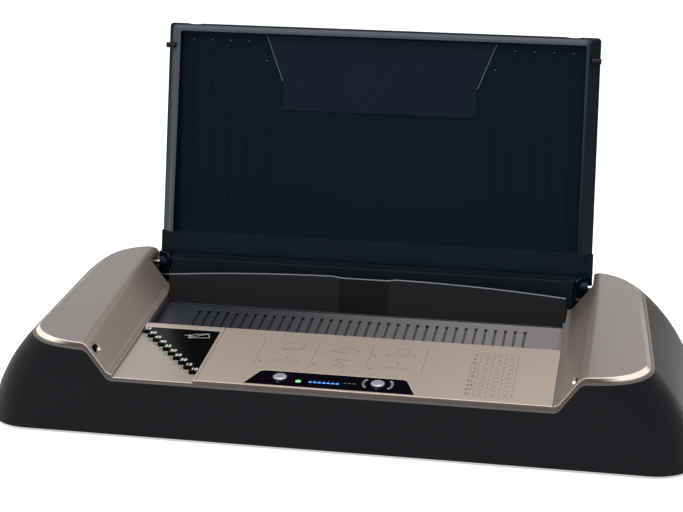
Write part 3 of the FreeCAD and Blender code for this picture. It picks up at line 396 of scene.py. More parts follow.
def print_ink_and_highlight(name, colour, roughness=0.45, cover=1.0):
    """Thin screen-printed ink with slightly uneven cover; the cover's painted highlight strokes use
    it too.
    """
    paint = Paint(name, {"Specular IOR Level": 0.3})
    speckle = paint.noise(0.4 * MM, 3.0, 0.7)
    paint.feed("Base Color", paint.tint(linear(colour), 0.9 + speckle * 0.2))
    paint.feed("Roughness", roughness + (speckle - 0.5) * 0.1)
    if cover < 1.0:
        paint.feed("Alpha", cover - 0.1 + speckle * 0.2)
    return paint.material


def ceramic_board(name, colour):
    """Pressed fibre insulation."""
    paint = Paint(name, {"Specular IOR Level": 0.2})
    fibre = paint.noise(1.2 * MM, 6.0, 0.8, paint.stretched((0.3, 1.0, 1.0)))
    paint.feed("Base Color", paint.tint(linear(colour), 0.85 + fibre * 0.25))
    paint.feed("Roughness", 0.85 + (fibre - 0.5) * 0.1)
    paint.relief(fibre, 0.05 * MM, 0.2 * MM)
    return paint.material


def circuit_board(name, colour):
    """Green board with a faint copper pattern under the lacquer."""
    paint = Paint(name, {"Specular IOR Level": 0.5})
    bricks = {"Vector": paint.place, "Scale": 160.0, "Mortar Size": 0.03}
    tracks = paint.add("ShaderNodeTexBrick", {"offset": 0.37}, bricks, output="Fac")
    copper = linear((0.45, 0.52, 0.25))
    paint.feed("Base Color", paint.mix(tracks * 0.6, linear(colour), copper))
    paint.feed("Roughness", 0.35 + tracks * 0.1)
    paint.relief(tracks, 0.02 * MM, 0.1 * MM)
    return paint.material


# Modelling helpers


def deselect_all():
    if bpy.context.mode != "OBJECT":
        bpy.ops.object.mode_set(mode="OBJECT")
    bpy.ops.object.select_all(action="DESELECT")


def choose(obj):
    deselect_all()
    obj.select_set(True)
    bpy.context.view_layer.objects.active = obj


def coat(obj, material):
    obj.data.materials.clear()
    obj.data.materials.append(material)


def coat_nodes(names, material):
    for name in names:
        coat(frame["nodes"][name], material)


def modify(obj, kind, **settings):
    """Adds a modifier with these settings and applies it."""
    choose(obj)
    bpy.ops.object.modifier_add(type=kind)
    modifier = obj.modifiers[-1]
    for key, value in settings.items():
        setattr(modifier, key, value)
    bpy.ops.object.modifier_apply(modifier=modifier.name)


def set_down(obj, place):
    """Moves a mesh drawn on the flat to its place, leaving its object at the origin."""
    obj.matrix_world = place
    choose(obj)
    bpy.ops.object.transform_apply(location=True, rotation=True, scale=True)


def finish_piece(obj, name, body, material):
    obj.name = name
    obj.data.name = name
    coat(obj, material)
    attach(obj, body)


def strokes(lines, width):
    """Flat mesh of straight strokes, each from one point to another, both in metres."""
    made = []
    for (x0, y0), (x1, y1) in lines:
        deselect_all()
        bpy.ops.mesh.primitive_plane_add(size=1, location=((x0 + x1) / 2, (y0 + y1) / 2, 0))
        stroke = bpy.context.active_object
        stroke.rotation_euler.z = math.atan2(y1 - y0, x1 - x0)
        stroke.scale = (math.hypot(x1 - x0, y1 - y0) + width, width, 1)
        made.append(stroke)
    return joined(made)


def joined(made):
    """One mesh at the origin from several objects."""
    deselect_all()
    for obj in made:
        obj.select_set(True)
    bpy.context.view_layer.objects.active = made[0]
    if len(made) > 1:
        bpy.ops.object.join()
    bpy.ops.object.transform_apply(location=True, rotation=True, scale=True)
    return bpy.context.active_object


def ring_strokes(centre, radius, start_deg, end_deg, count):
    """Short strokes that follow an arc."""
    points = []
    for index in range(count + 1):
        angle = math.radians(start_deg + (end_deg - start_deg) * index / count)
        points.append((centre[0] + radius * math.cos(angle), centre[1] + radius * math.sin(angle)))
    return list(zip(points, points[1:]))


def box_strokes(x0, y0, x1, y1):
    corners = [(x0, y0), (x1, y0), (x1, y1), (x0, y1)]
    return list(zip(corners, corners[1:] + corners[:1]))


def numerals(entries, size, weight=0.0):
    """Flat mesh of plain numbers; each entry is (number as text, x, y) in metres."""
    made = []
    for body, x, y in entries:
        deselect_all()
        bpy.ops.object.text_add(location=(x, y, 0))
        text = bpy.context.active_object
        text.data.body = body
        text.data.size = size
        text.data.align_x = "CENTER"
        text.data.align_y = "CENTER"
        text.data.resolution_u = 3
        text.data.offset = weight
        bpy.ops.object.convert(target="MESH")
        made.append(bpy.context.active_object)
    return joined(made)


def lay_print(obj, place, name, material):
    """Thickens a flat drawing and lays it on the face that place describes."""
    modify(obj, "SOLIDIFY", thickness=PRINT_THICKNESS, offset=1.0)
    set_down(obj, place @ Matrix.Translation((0, 0, PRINT_LIFT)))
    finish_piece(obj, name, "base", material)


# Sizes and colours that a user may change


def shade(red, green, blue):
    return (red / 255, green / 255, blue / 255)


def colour_setting(name, description, default):
    return bpy.props.FloatVectorProperty(
        name=name, description=description, default=default,
        size=3, min=0, max=1, subtype="COLOR_GAMMA",
    )


def length_setting(name, description, default):
    return bpy.props.FloatProperty(
        name=name, description=description, default=default, min=0, unit="LENGTH"
    )


def power_setting(name, description, default):
    return bpy.props.FloatProperty(
        name=name, description=description, default=default, min=0, unit="POWER"
    )


class CaseFinish(bpy.types.PropertyGroup):
    """Colours of the housing; several of them are painted light and shade."""

    # Deck and wing covers share one paint; their two colours are painted light and shade
    cover: colour_setting("Wing covers", "Metallic paint of the wings", shade(120, 112, 109))
    # Painted light: leaning walls lighter than the tops; the tray takes this colour as painted
    # shade
    slope: colour_setting("Inner walls", "Paint of the leaning walls", shade(160, 148, 142))
    deck: colour_setting("Deck", "Metallic paint of the deck", shade(180, 163, 151))
    # Painted shade on the forward faces of the covers
    lip: colour_setting("Front lip", "Forward faces of the covers", shade(72, 60, 52))
    # Painted highlight along the front edge
    edge_highlight: colour_setting("Edge line", "Line along the front edge", shade(250, 235, 220))
    shell: colour_setting("Shell", "Dark lower shell", shade(11, 14, 18))
    rim: colour_setting("Rim", "Thin band under the covers", shade(98, 92, 89))
    channel: colour_setting("Slot parts", "Slot, guide and brackets", shade(13, 18, 22))
    guard: colour_setting("Guard", "Front guard of the slot", shade(25, 27, 30))
    # Painted shade in the guard's recessed middle
    guard_middle_shade: colour_setting("Guard, middle", "Black below the guard's notch", shade(8, 10, 12))
    # Painted highlight on the guard's top edge and foot
    guard_highlight: colour_setting("Guard, edges", "Guard's top edge and foot", shade(118, 120, 125))
    # The plate's colours run from painted shade at its left end to painted light at its right
    vent: colour_setting("Vent plate", "Satin plate with the slots", shade(136, 132, 132))
    vent_shade: colour_setting("Vent plate, left", "Vent plate's darker left end", shade(46, 48, 56))
    # The grooves' floors take painted shade towards their left end
    groove: colour_setting("Grooves", "Floors of the vent plate's grooves", shade(88, 88, 94))
    groove_shade: colour_setting("Grooves, left", "Grooves' darker left end", shade(22, 24, 30))
    edge_radius: length_setting("Edge radius", "How softly the housing's edges turn", 0.6 * MM)
    flake_size: length_setting("Flake size", "Size of a flake in the paint", 0.22 * MM)


class CoverFinish(bpy.types.PropertyGroup):
    """Colours of the hinged cover; the side walls' colours are painted light and shade."""

    panel: colour_setting("Panel", "Glossy inner face", shade(8, 20, 32))
    field: colour_setting("Raised field", "Raised middle of the inner face", shade(20, 27, 40))
    # Painted light: the leaning walls are painted grey where they face the light
    side: colour_setting("Side walls", "Leaning side walls", shade(78, 80, 88))
    # Painted shade on the right wall, which is turned from the light
    side_shade: colour_setting("Right wall", "Side wall away from the light", shade(18, 24, 28))
    # Painted light: a dimmer grey on part of the lit wall
    outer: colour_setting("Outer band", "Outer part of the lit walls", shade(52, 57, 64))
    lean: bpy.props.FloatProperty(
        name="Lean", description="Backward lean of the panel",
        default=math.radians(11.6), subtype="ANGLE",
    )
    panel_depth: length_setting("Panel depth", "From the pins' line to the panel", 10.6 * MM)


class PanelFinish(bpy.types.PropertyGroup):
    """Colours of the controls and of the printed marks."""

    plate: colour_setting("Plate", "Glossy control panel", shade(9, 5, 13))
    button: colour_setting("Buttons", "Satin button caps", shade(172, 172, 180))
    ready: colour_setting("Ready lamp", "Lit ready lamp", shade(110, 235, 140))
    level: colour_setting("Level lamps", "Lit level lamps", shade(80, 150, 245))
    ink: colour_setting("Deck ink", "Faint line drawings on the deck", shade(128, 116, 112))
    dark_ink: colour_setting("Dark ink", "Numbers on the deck", shade(92, 84, 84))
    white_ink: colour_setting("White ink", "Numbers on the gauge", shade(232, 232, 232))
    line_width: length_setting("Line width", "Width of a printed line", 0.35 * MM)
    number_height: length_setting("Number height", "Height of the gauge's numbers", 5.2 * MM)


class StudioSettings(bpy.types.PropertyGroup):
    """Camera, lamps and floor."""

    camera_place: bpy.props.FloatVectorProperty(
        name="Camera place", description="Where the camera stands",
        default=(0.212668, -1.231631, 0.541328), size=3, subtype="TRANSLATION", unit="LENGTH",
    )
    camera_turn: bpy.props.FloatVectorProperty(
        name="Camera turn", description="How the camera is turned",
        default=(math.radians(70.92), 0.0, math.radians(10.30)), size=3, subtype="EULER",
    )
    lens: bpy.props.FloatProperty(
        name="Lens", description="Focal length in millimetres", default=91.73, min=10
    )
    ambient: bpy.props.FloatProperty(
        name="Ambient", description="Strength of the even light", default=0.42, min=0
    )
    key_power: power_setting("Key", "Power of the main lamp", 24)
    fill_power: power_setting("Fill", "Power of the fill lamp", 4)
    floor: colour_setting("Floor", "Plain pale floor", shade(244, 244, 244))


# Operators, one for each group of pieces


class BINDER_OT_housing(bpy.types.Operator):
    """Finish the shell, the rim, the covers and the underside"""

    bl_idname = "binder.housing"
    bl_label = "Housing"

    def execute(self, context):
        look = context.scene.binder_case
        # Deck and wings share one paint; their different colours, the walls' colour, the forward
        # faces and the front edge are painted light and shade
        edges = (look.slope, look.lip, look.edge_highlight, look.flake_size, look.edge_radius)
        coat_nodes(["deck_panel"], satin_paint("deck_paint", look.deck, *edges))
        wings = satin_paint("wing_paint", look.cover, *edges)
        coat_nodes(["wing_cover_right", "wing_cover_left"], wings)
        shell = moulded_plastic("dark_shell", look.shell, 0.45, look.edge_radius, specular=0.1)
        coat_nodes(["base_tub"], shell)
        rim = moulded_plastic("grey_rim", look.rim, 0.38, 0.4 * MM, specular=0.2)
        coat_nodes(["rim_band"], rim)
        under = moulded_plastic("under_black", look.channel, 0.6, 0.4 * MM, grain=1.2, depth=0.06)
        coat_nodes(["base_plate", "power_inlet"], under)
        grain = {"specular": 0.2, "grain": 0.8, "depth": 0.08}
        rubber = moulded_plastic("foot_rubber", look.channel, 0.85, 0.4 * MM, **grain)
        coat_nodes([name for name in frame["nodes"] if name.startswith("foot_")], rubber)
        return {"FINISHED"}


class BINDER_OT_corner_plugs(bpy.types.Operator):
    """Close the small gaps that the shell has at its two front corners"""

    bl_idname = "binder.corner_plugs"
    bl_label = "Corner plugs"

    # Least and greatest x, y and z of each gap on the right, in millimetres
    gaps = [
        ((201.2, 204.4), (-115.6, -115.3), (61.9, 64.6)),
        ((232.8, 237.1), (-97.9, -96.3), (53.1, 58.8)),
        ((249.8, 250.9), (-98.3, -97.7), (29.1, 31.5)),
    ]
    margin = 0.08
    merge_distance = 0.001 * MM
    thickness = 0.3 * MM

    def execute(self, context):
        shell = frame["nodes"]["base_tub"]
        plugs = [self.plug(shell, side, gap) for side in (-1, 1) for gap in self.gaps]
        finish_piece(joined(plugs), "corner_plugs", "base", shell.data.materials[0])
        return {"FINISHED"}

    def plug(self, shell, side, gap):
        """Thin solid over the rim of one gap, flush with the shell."""
        choose(shell)
        bpy.ops.object.duplicate()
        obj = bpy.context.active_object
        del obj["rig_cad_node"]
        bpy.ops.object.parent_clear(type="CLEAR_KEEP_TRANSFORM")
        bpy.ops.object.mode_set(mode="EDIT")
        bpy.ops.mesh.select_all(action="SELECT")
        bpy.ops.mesh.remove_doubles(threshold=self.merge_distance)
        bpy.ops.mesh.select_all(action="DESELECT")
        bpy.ops.object.mode_set(mode="OBJECT")
        for vertex in obj.data.vertices:
            point = (vertex.co.x * side / MM, vertex.co.y / MM, vertex.co.z / MM)
            inside = all(low - self.margin < value < high + self.margin
                         for value, (low, high) in zip(point, gap))
            vertex.select = not inside
        bpy.ops.object.mode_set(mode="EDIT")
        bpy.ops.mesh.select_mode(type="VERT")
        bpy.ops.mesh.delete(type="VERT")
        bpy.ops.mesh.select_all(action="SELECT")
        bpy.ops.mesh.duplicate()
        bpy.ops.transform.translate(value=(-side * self.thickness, self.thickness, 0))
        bpy.ops.mesh.select_all(action="SELECT")
        bpy.ops.mesh.convex_hull()
        bpy.ops.mesh.normals_make_consistent(inside=False)
        bpy.ops.object.mode_set(mode="OBJECT")
        return obj


class BINDER_OT_slot(bpy.types.Operator):
    """Finish the vent plate, the guard, the slot and the hot plate"""

    bl_idname = "binder.slot"
    bl_label = "Document slot"

    def execute(self, context):
        look = context.scene.binder_case
        coat_nodes(["vent_plate"], vent_metal("satin_plate", look.vent, look.vent_shade))
        colours = (look.guard, look.guard_middle_shade, look.guard_highlight)
        guard = guard_plastic("guard_black", *colours, foot_level=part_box("front_guard")[0].z)
        coat_nodes(["front_guard"], guard)
        channel = moulded_plastic("slot_black", look.channel, 0.45, 0.6 * MM, specular=0.1)
        brackets = ["hinge_bracket_right", "hinge_bracket_left"]
        coat_nodes(["slot_channel", "rear_guide", "rear_cover", *brackets], channel)
        silver = shade(205, 206, 210)
        aluminium = satin_metal("heater_aluminium", silver, 0.35, 0.2 * MM, 0.95, (0.03, 1.0, 1.0))
        coat_nodes(["heating_plate", "thermostat"], aluminium)
        coat_nodes(["heater_insulator"], ceramic_board("fibre_board", shade(222, 214, 198)))
        return {"FINISHED"}


class BINDER_OT_vent_grooves(bpy.types.Operator):
    """Lay the floors of the vent plate's grooves, which leave a round hole open at each rear end"""

    bl_idname = "binder.vent_grooves"
    bl_label = "Vent grooves"

    def execute(self, context):
        look = context.scene.binder_case
        count = 35
        pitch = 7.588 * MM
        width = 1.84 * MM
        front, rear = 18.6 * MM, 43.2 * MM
        thickness = 0.4 * MM
        drop = 0.55 * MM
        lines = []
        for index in range(count):
            x = (index - (count - 1) / 2) * pitch
            lines.append(((x, front + width / 2), (x, rear - width / 2)))
        floors = strokes(lines, width)
        modify(floors, "SOLIDIFY", thickness=thickness, offset=-1.0)
        set_down(floors, self.plate_top() @ Matrix.Translation((0, 0, -drop)))
        # The groove floors take the same painted shade towards the left
        metal = vent_metal("groove_metal", look.groove, look.groove_shade)
        finish_piece(floors, "vent_groove_floors", "base", metal)
        return {"FINISHED"}

    def plate_top(self):
        """Frame of the vent plate's top, read from its middle and not from its front edge."""
        slope = math.radians(4.6)
        front_margin = 10 * MM
        low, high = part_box("vent_plate")
        level = max(vertex.co.z - (vertex.co.y - low.y) * math.tan(slope)
                    for vertex in frame["nodes"]["vent_plate"].data.vertices
                    if abs(vertex.co.x) < 0.8 * high.x and vertex.co.y > low.y + front_margin)
        return Matrix.Translation((0, low.y, level)) @ Matrix.Rotation(slope, 4, "X")


class BINDER_OT_controls(bpy.types.Operator):
    """Finish the control panel, its buttons and its lamps"""

    bl_idname = "binder.controls"
    bl_label = "Controls"

    def execute(self, context):
        look = context.scene.binder_panel
        plate = gloss_plastic("panel_gloss", look.plate, 0.14, 0.3 * MM, specular=0.06)
        coat_nodes(["control_panel"], plate)
        caps = satin_metal("button_satin", look.button, 0.36, 0.5 * MM, 0.5, (1.0, 1.0, 1.0))
        coat_nodes(["power_button", "mode_button"], caps)
        coat_nodes(["ready_lamp"], lamp_glow("ready_green", look.ready, 1.1, 1.2 * MM))
        coat_nodes(["level_lamps"], lamp_glow("level_blue", look.level, 1.3, 1.2 * MM))
        return {"FINISHED"}


class BINDER_OT_panel_print(bpy.types.Operator):
    """Print the marks beside the buttons and lamps"""

    bl_idname = "binder.panel_print"
    bl_label = "Panel marks"

    def execute(self, context):
        look = context.scene.binder_panel
        place = deck_place() @ Matrix.Translation((0, 0, PANEL_RISE))
        silver = print_ink_and_highlight("silver_ink", shade(150, 150, 158), 0.35)
        low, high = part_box("mode_button")
        mode_x = (low.x + high.x) / 2
        centre = (mode_x, 15.3 * MM)
        radius = 10.5 * MM
        arcs = ring_strokes(centre, radius, 150, 214, 9) + ring_strokes(centre, radius, -34, 30, 9)
        lay_print(strokes(arcs, 2.0 * MM), place, "mode_arcs", silver)
        power_x = -37.5 * MM
        tick_row, tick_reach = 7.4 * MM, 0.6 * MM
        marks = []
        for x in (power_x, mode_x):
            marks.append(((x - tick_reach, tick_row), (x + tick_reach, tick_row)))
        dash_start, dash_row, dash_pitch, dash_length = 9.6 * MM, 12.9 * MM, 3.4 * MM, 1.6 * MM
        for index in range(3):
            x = dash_start + dash_pitch * index
            marks.append(((x, dash_row), (x + dash_length, dash_row)))
        lay_print(strokes(marks, 0.5 * MM), place, "panel_marks", silver)
        self.lamp_numbers(place)
        return {"FINISHED"}

    def lamp_numbers(self, place):
        """One small number behind each of the blue lamps."""
        count = 7
        lamp_reach = 1.1 * MM
        row = 14.0 * MM
        low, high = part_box("level_lamps")
        pitch = (high.x - low.x - 2 * lamp_reach) / (count - 1)
        entries = []
        for index in range(count):
            entries.append((str(index + 1), low.x + lamp_reach + pitch * index, row))
        blue = print_ink_and_highlight("blue_ink", shade(96, 118, 190), 0.4)
        lay_print(numerals(entries, 1.7 * MM), place, "lamp_numbers", blue)


def pictogram(kind, x, y, width, height):
    """Small line drawing of one working step inside a cell, as a list of strokes."""
    cells = {
        "stack": [(0.30, 0.30, 0.72, 0.30), (0.72, 0.30, 0.80, 0.72), (0.80, 0.72, 0.38, 0.72),
                  (0.38, 0.72, 0.30, 0.30), (0.33, 0.24, 0.75, 0.24), (0.75, 0.24, 0.83, 0.66)],
        "cover": [(0.25, 0.40, 0.60, 0.25), (0.60, 0.25, 0.85, 0.50), (0.85, 0.50, 0.50, 0.68),
                  (0.50, 0.68, 0.25, 0.40), (0.55, 0.20, 0.60, 0.25), (0.18, 0.34, 0.25, 0.40),
                  (0.18, 0.34, 0.53, 0.19)],
        "insert": [(0.18, 0.30, 0.88, 0.30), (0.18, 0.30, 0.26, 0.50), (0.88, 0.30, 0.80, 0.50),
                   (0.26, 0.50, 0.80, 0.50), (0.40, 0.50, 0.44, 0.82), (0.68, 0.50, 0.72, 0.82),
                   (0.44, 0.82, 0.72, 0.82)],
        "press": [(0.20, 0.28, 0.85, 0.28), (0.20, 0.28, 0.30, 0.45), (0.85, 0.28, 0.75, 0.45),
                  (0.30, 0.45, 0.75, 0.45), (0.53, 0.80, 0.53, 0.55), (0.48, 0.62, 0.53, 0.55),
                  (0.58, 0.62, 0.53, 0.55)],
        "wait": [(0.35, 0.25, 0.65, 0.25), (0.35, 0.75, 0.65, 0.75), (0.37, 0.25, 0.63, 0.75),
                 (0.63, 0.25, 0.37, 0.75)],
        "cool": [(0.22, 0.30, 0.80, 0.30), (0.22, 0.30, 0.30, 0.42), (0.80, 0.30, 0.72, 0.42),
                 (0.30, 0.42, 0.72, 0.42), (0.52, 0.50, 0.52, 0.82), (0.47, 0.74, 0.52, 0.82),
                 (0.57, 0.74, 0.52, 0.82)],
    }
    lines = []
    for x0, y0, x1, y1 in cells[kind]:
        lines.append(((x + x0 * width, y + y0 * height), (x + x1 * width, y + y1 * height)))
    return lines


class BINDER_OT_deck_print(bpy.types.Operator):
    """Print the working steps and the table on the deck"""

    bl_idname = "binder.deck_print"
    bl_label = "Deck marks"

    def execute(self, context):
        look = context.scene.binder_panel
        place = deck_place()
        faint = print_ink_and_highlight("faint_ink", look.ink, cover=0.55)
        dark = print_ink_and_highlight("dark_ink", look.dark_ink, cover=0.8)
        left, right, low, high = -61.5 * MM, 62.0 * MM, 34.5 * MM, 79.0 * MM
        width = (right - left) / 3
        height = (high - low) / 2
        kinds = ["stack", "cover", "insert", "press", "wait", "cool"]
        lines = []
        entries = []
        number_x, number_y = 3.2 * MM, 5.0 * MM
        margin = 1.5 * MM
        for index, kind in enumerate(kinds):
            x = left + width * (index % 3)
            y = low + height * (1 - index // 3)
            lines.extend(pictogram(kind, x + width * 0.12, y, width * 0.8, height))
            entries.append((str(index + 1), x + number_x, y + number_y))
        for column in range(4):
            x = left + width * column
            lines.append(((x, low + margin), (x, high - margin)))
        lay_print(strokes(lines, look.line_width), place, "step_drawings", faint)
        lay_print(numerals(entries, 4.2 * MM), place, "step_numbers", dark)
        self.table(place, faint, dark, look.line_width)
        return {"FINISHED"}

    def table(self, place, faint, dark, line_width):
        """Table of sheet counts: ten rows, one column of dark numbers and three of faint ones."""
        left, right, low, high = 94.0 * MM, 129.5 * MM, 7.0 * MM, 78.0 * MM
        rows = 10
        first_width = 8.0 * MM
        pitch = (high - low) / rows
        lines = box_strokes(left + first_width, low, right, high)
        column = (right - left - first_width) / 3
        for index in (1, 2):
            x = left + first_width + column * index
            lines.append(((x, low), (x, high)))
        for row in range(1, rows):
            y = low + pitch * row
            lines.append(((left + first_width, y), (right, y)))
        lay_print(strokes(lines, line_width * 0.7), place, "table_grid", faint)
        count_height, sheet_height = 5.0 * MM, 2.6 * MM
        counts = []
        sheets = []
        for row in range(rows):
            y = low + pitch * (row + 0.5)
            count = rows - row
            counts.append((str(count * 3), left + first_width / 2, y))
            for index in range(3):
                x = left + first_width + column * (index + 0.5)
                sheets.append((str(count * (30 + 10 * index)), x, y))
        lay_print(numerals(counts, count_height), place, "table_counts", dark)
        lay_print(numerals(sheets, sheet_height), place, "table_sheets", faint)


class BINDER_OT_gauge(bpy.types.Operator):
    """Finish the thickness gauge and print its numbers"""

    bl_idname = "binder.gauge"
    bl_label = "Thickness gauge"

    def execute(self, context):
        look = context.scene.binder_panel
        black = gloss_plastic("gauge_gloss", shade(8, 7, 8), 0.2, 0.25 * MM, specular=0.05)
        coat_nodes(["gauge_wedge"], black)
        white = print_ink_and_highlight("white_ink", look.white_ink)
        grey = print_ink_and_highlight("tray_ink", look.dark_ink, cover=0.8)
        low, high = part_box("gauge_wedge")
        steps = 10
        front, rear = 14.0 * MM, 85.0 * MM
        step_x = (high.x - low.x) / steps
        step_y = (rear - front) / steps
        on_gauge = deck_place() @ Matrix.Translation((0, 0, GAUGE_RISE))
        on_tray = deck_place() @ Matrix.Translation((0, 0, -TRAY_DROP))
        widths = []
        counts = []
        for index in range(steps):
            x = high.x - step_x * (index + 0.42)
            y = front + step_y * (index + 0.55)
            widths.append((str(10 + index * 5), x, y))
            counts.append((str(index + 1), x - step_x * 0.95, y - step_y * 0.35))
        bold = numerals(widths, look.number_height, 0.12 * MM)
        lay_print(bold, on_gauge, "gauge_numbers", white)
        small = numerals(counts, look.number_height * 0.8)
        lay_print(small, on_tray, "tray_numbers", grey)
        drawing = strokes(self.drawing(high.x), 0.3 * MM)
        lay_print(drawing, on_gauge, "gauge_drawing", white)
        return {"FINISHED"}

    def drawing(self, right):
        """Bound document lying open against the gauge, in a few strokes."""
        start = (right - 21.0 * MM, 70.0 * MM)
        # From and to, in millimetres from the drawing's left corner
        segments = [
            (0, 0, 16, 2), (16, 2, 14, 9), (14, 9, 3, 6.5), (3, 6.5, 0, 0), (0, 0, 14, 9),
            (-4, 4, 1, 4.4), (-1, 5.8, 1, 4.4), (-1, 3, 1, 4.4),
        ]
        lines = []
        for x0, y0, x1, y1 in segments:
            first = (start[0] + x0 * MM, start[1] + y0 * MM)
            last = (start[0] + x1 * MM, start[1] + y1 * MM)
            lines.append((first, last))
        return lines


class BINDER_OT_cover(bpy.types.Operator):
    """Finish the hinged cover, its pins and its pegs"""

    bl_idname = "binder.cover"
    bl_label = "Hinged cover"

    def execute(self, context):
        look = context.scene.binder_cover
        coat_nodes(["lid_tray"], lid_plastic("cover_gloss", look))
        self.field_highlights(look)
        bar = gloss_plastic("bar_gloss", look.panel, 0.35, 0.5 * MM, specular=0.1)
        coat_nodes(["lid_hinge_bar"], bar)
        pegs = moulded_plastic("peg_black", shade(14, 15, 18), 0.4, 0.4 * MM, specular=0.15)
        coat_nodes(["lid_pegs"], pegs)
        bright = shade(200, 200, 202)
        steel = satin_metal("pin_steel", bright, 0.25, 0.2 * MM, 1.0, (1.0, 0.05, 1.0))
        coat_nodes(["hinge_pin_right", "hinge_pin_left", "base_screws", "heater_element"], steel)
        return {"FINISHED"}

    def field_highlights(self, look):
        """Painted highlights: pale lines on the slanted ends of the raised field, and short pale
        marks on the ribs' upper ends.
        """
        top_x, top_y = 92.2 * MM, 186.6 * MM
        foot_x, foot_y = 78.6 * MM, 151.4 * MM
        first_rib, rib_pitch, rib_count = 91.7 * MM, 15.2 * MM, 5
        short_rib_top, rib_top = 167.0 * MM, 182.0 * MM
        mark_reach = 0.5 * MM
        lines = []
        for side in (-1, 1):
            lines.append(((side * top_x, top_y), (side * foot_x, foot_y)))
            for index in range(rib_count):
                x = side * (first_rib + rib_pitch * index)
                top = short_rib_top if index == 0 else rib_top
                lines.append(((x - mark_reach, top), (x + mark_reach, top)))
        highlight_strokes = strokes(lines, 0.55 * MM)
        modify(highlight_strokes, "SOLIDIFY", thickness=PRINT_THICKNESS, offset=1.0)
        panel = Matrix.Rotation(math.radians(90) - look.lean, 4, "X")
        level = -look.panel_depth + 0.75 * MM
        set_down(highlight_strokes, Matrix.Translation(HINGE) @ panel @ Matrix.Translation((0, 0, level)))
        # Pale ink finish for the painted highlights
        shine = print_ink_and_highlight("edge_shine", shade(88, 94, 100))
        finish_piece(highlight_strokes, "field_edge_highlights", "lid", shine)


class BINDER_OT_inside(bpy.types.Operator):
    """Finish the boards, switches and transformer inside the housing"""

    bl_idname = "binder.inside"
    bl_label = "Inside"

    def execute(self, context):
        green = circuit_board("board_green", shade(34, 96, 58))
        coat_nodes(["control_board", "mains_board"], green)
        black = moulded_plastic("switch_black", shade(30, 30, 32), 0.5, 0.2 * MM)
        coat_nodes(["button_switches"], black)
        dull = shade(120, 112, 104)
        core = satin_metal("core_steel", dull, 0.55, 0.2 * MM, 0.6, (0.02, 1.0, 1.0))
        coat_nodes(["mains_transformer"], core)
        return {"FINISHED"}


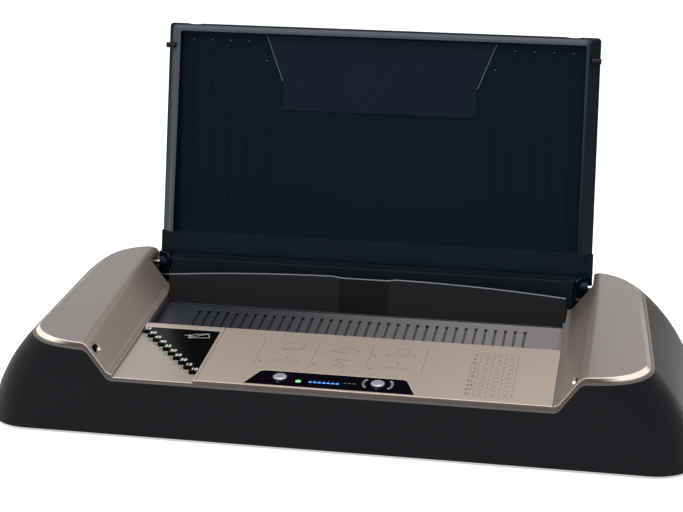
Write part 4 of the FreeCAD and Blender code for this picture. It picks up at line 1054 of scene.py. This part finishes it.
class BINDER_OT_studio(bpy.types.Operator):
    """Set up the floor, the lamps, the even light and the camera"""

    bl_idname = "binder.studio"
    bl_label = "Studio"

    def execute(self, context):
        look = context.scene.binder_studio
        self.floor(look)
        self.world(context.scene, look)
        key_place = Vector((0.25, -0.35, 1.7))
        fill_place = Vector((-1.1, -0.5, 1.0))
        self.lamp("key_lamp", key_place, 1.5, look.key_power)
        self.lamp("fill_lamp", fill_place, 0.9, look.fill_power)
        deselect_all()
        bpy.ops.object.camera_add(location=look.camera_place, rotation=look.camera_turn)
        camera = context.active_object
        camera.data.lens = look.lens
        context.scene.camera = camera
        context.scene.view_settings.view_transform = "Standard"
        return {"FINISHED"}

    def seen_directly(self, tree):
        """1 for rays that show the background: straight, mirrored or through glass."""
        paths = tree.nodes.new("ShaderNodeLightPath")
        total = None
        for name in ("Is Camera Ray", "Is Glossy Ray", "Is Transmission Ray"):
            if total is None:
                total = paths.outputs[name]
                continue
            sum_node = tree.nodes.new("ShaderNodeMath")
            sum_node.operation = "ADD"
            sum_node.use_clamp = True
            tree.links.new(total, sum_node.inputs[0])
            tree.links.new(paths.outputs[name], sum_node.inputs[1])
            total = sum_node.outputs[0]
        return total

    def floor(self, look):
        deselect_all()
        bpy.ops.mesh.primitive_plane_add(size=14, location=(0, 0, 0))
        floor = bpy.context.active_object
        floor.name = "studio_floor"
        sockets = {"Roughness": 0.9, "Specular IOR Level": 0.1, "Emission Color": (1, 1, 1, 1)}
        sockets["Base Color"] = linear(look.floor)
        paint = Paint("studio_floor", sockets)
        direct = Value(paint, self.seen_directly(paint.tree))
        glow = 0.55
        paint.feed("Emission Strength", direct * glow)
        coat(floor, paint.material)

    def world(self, scene, look):
        world = bpy.data.worlds.new("studio_world")
        world.use_nodes = True
        scene.world = world
        tree = world.node_tree
        background = tree.nodes["Background"]
        background.inputs["Color"].default_value = (1, 1, 1, 1)
        blend = tree.nodes.new("ShaderNodeMix")
        blend.data_type = "FLOAT"
        blend.inputs[2].default_value = look.ambient
        blend.inputs[3].default_value = 1.0
        tree.links.new(self.seen_directly(tree), blend.inputs[0])
        tree.links.new(blend.outputs[0], background.inputs["Strength"])

    def lamp(self, name, place, size, power):
        """Round area lamp aimed a little above the origin."""
        deselect_all()
        aim = Vector((0, 0, 0.05)) - place
        turn = aim.to_track_quat("-Z", "Y").to_euler()
        bpy.ops.object.light_add(type="AREA", location=place, rotation=turn)
        lamp = bpy.context.active_object
        lamp.name = name
        lamp.data.shape = "DISK"
        lamp.data.size = size
        lamp.data.energy = power


class BINDER_PT_panel(bpy.types.Panel):
    """Lists the steps that dress the machine"""

    bl_idname = "BINDER_PT_panel"
    bl_label = "Thermal binding machine"
    bl_space_type = "VIEW_3D"
    bl_region_type = "UI"
    bl_category = "Binder"

    def draw(self, context):
        column = self.layout.column()
        for operator in OPERATORS:
            column.operator(operator.bl_idname)
        for group in SETTINGS:
            settings = getattr(context.scene, group)
            for name in settings.bl_rna.properties.keys():
                if name not in ("rna_type", "name"):
                    column.prop(settings, name)


SETTINGS = {
    "binder_case": CaseFinish,
    "binder_cover": CoverFinish,
    "binder_panel": PanelFinish,
    "binder_studio": StudioSettings,
}
OPERATORS = [
    BINDER_OT_studio,
    BINDER_OT_housing,
    BINDER_OT_corner_plugs,
    BINDER_OT_slot,
    BINDER_OT_vent_grooves,
    BINDER_OT_controls,
    BINDER_OT_panel_print,
    BINDER_OT_deck_print,
    BINDER_OT_gauge,
    BINDER_OT_cover,
    BINDER_OT_inside,
]


def register():
    for group in SETTINGS.values():
        bpy.utils.register_class(group)
    for operator in OPERATORS:
        bpy.utils.register_class(operator)
    bpy.utils.register_class(BINDER_PT_panel)
    for name, group in SETTINGS.items():
        setattr(bpy.types.Scene, name, bpy.props.PointerProperty(type=group))


def unregister():
    for name in SETTINGS:
        delattr(bpy.types.Scene, name)
    bpy.utils.unregister_class(BINDER_PT_panel)
    for operator in reversed(OPERATORS):
        bpy.utils.unregister_class(operator)
    for group in reversed(list(SETTINGS.values())):
        bpy.utils.unregister_class(group)


def main():
    register()
    for operator in OPERATORS:
        group, action = operator.bl_idname.split(".")
        if getattr(getattr(bpy.ops, group), action)() != {"FINISHED"}:
            raise RuntimeError(operator.bl_idname)
    deselect_all()


if __name__ == "__main__":
    main()
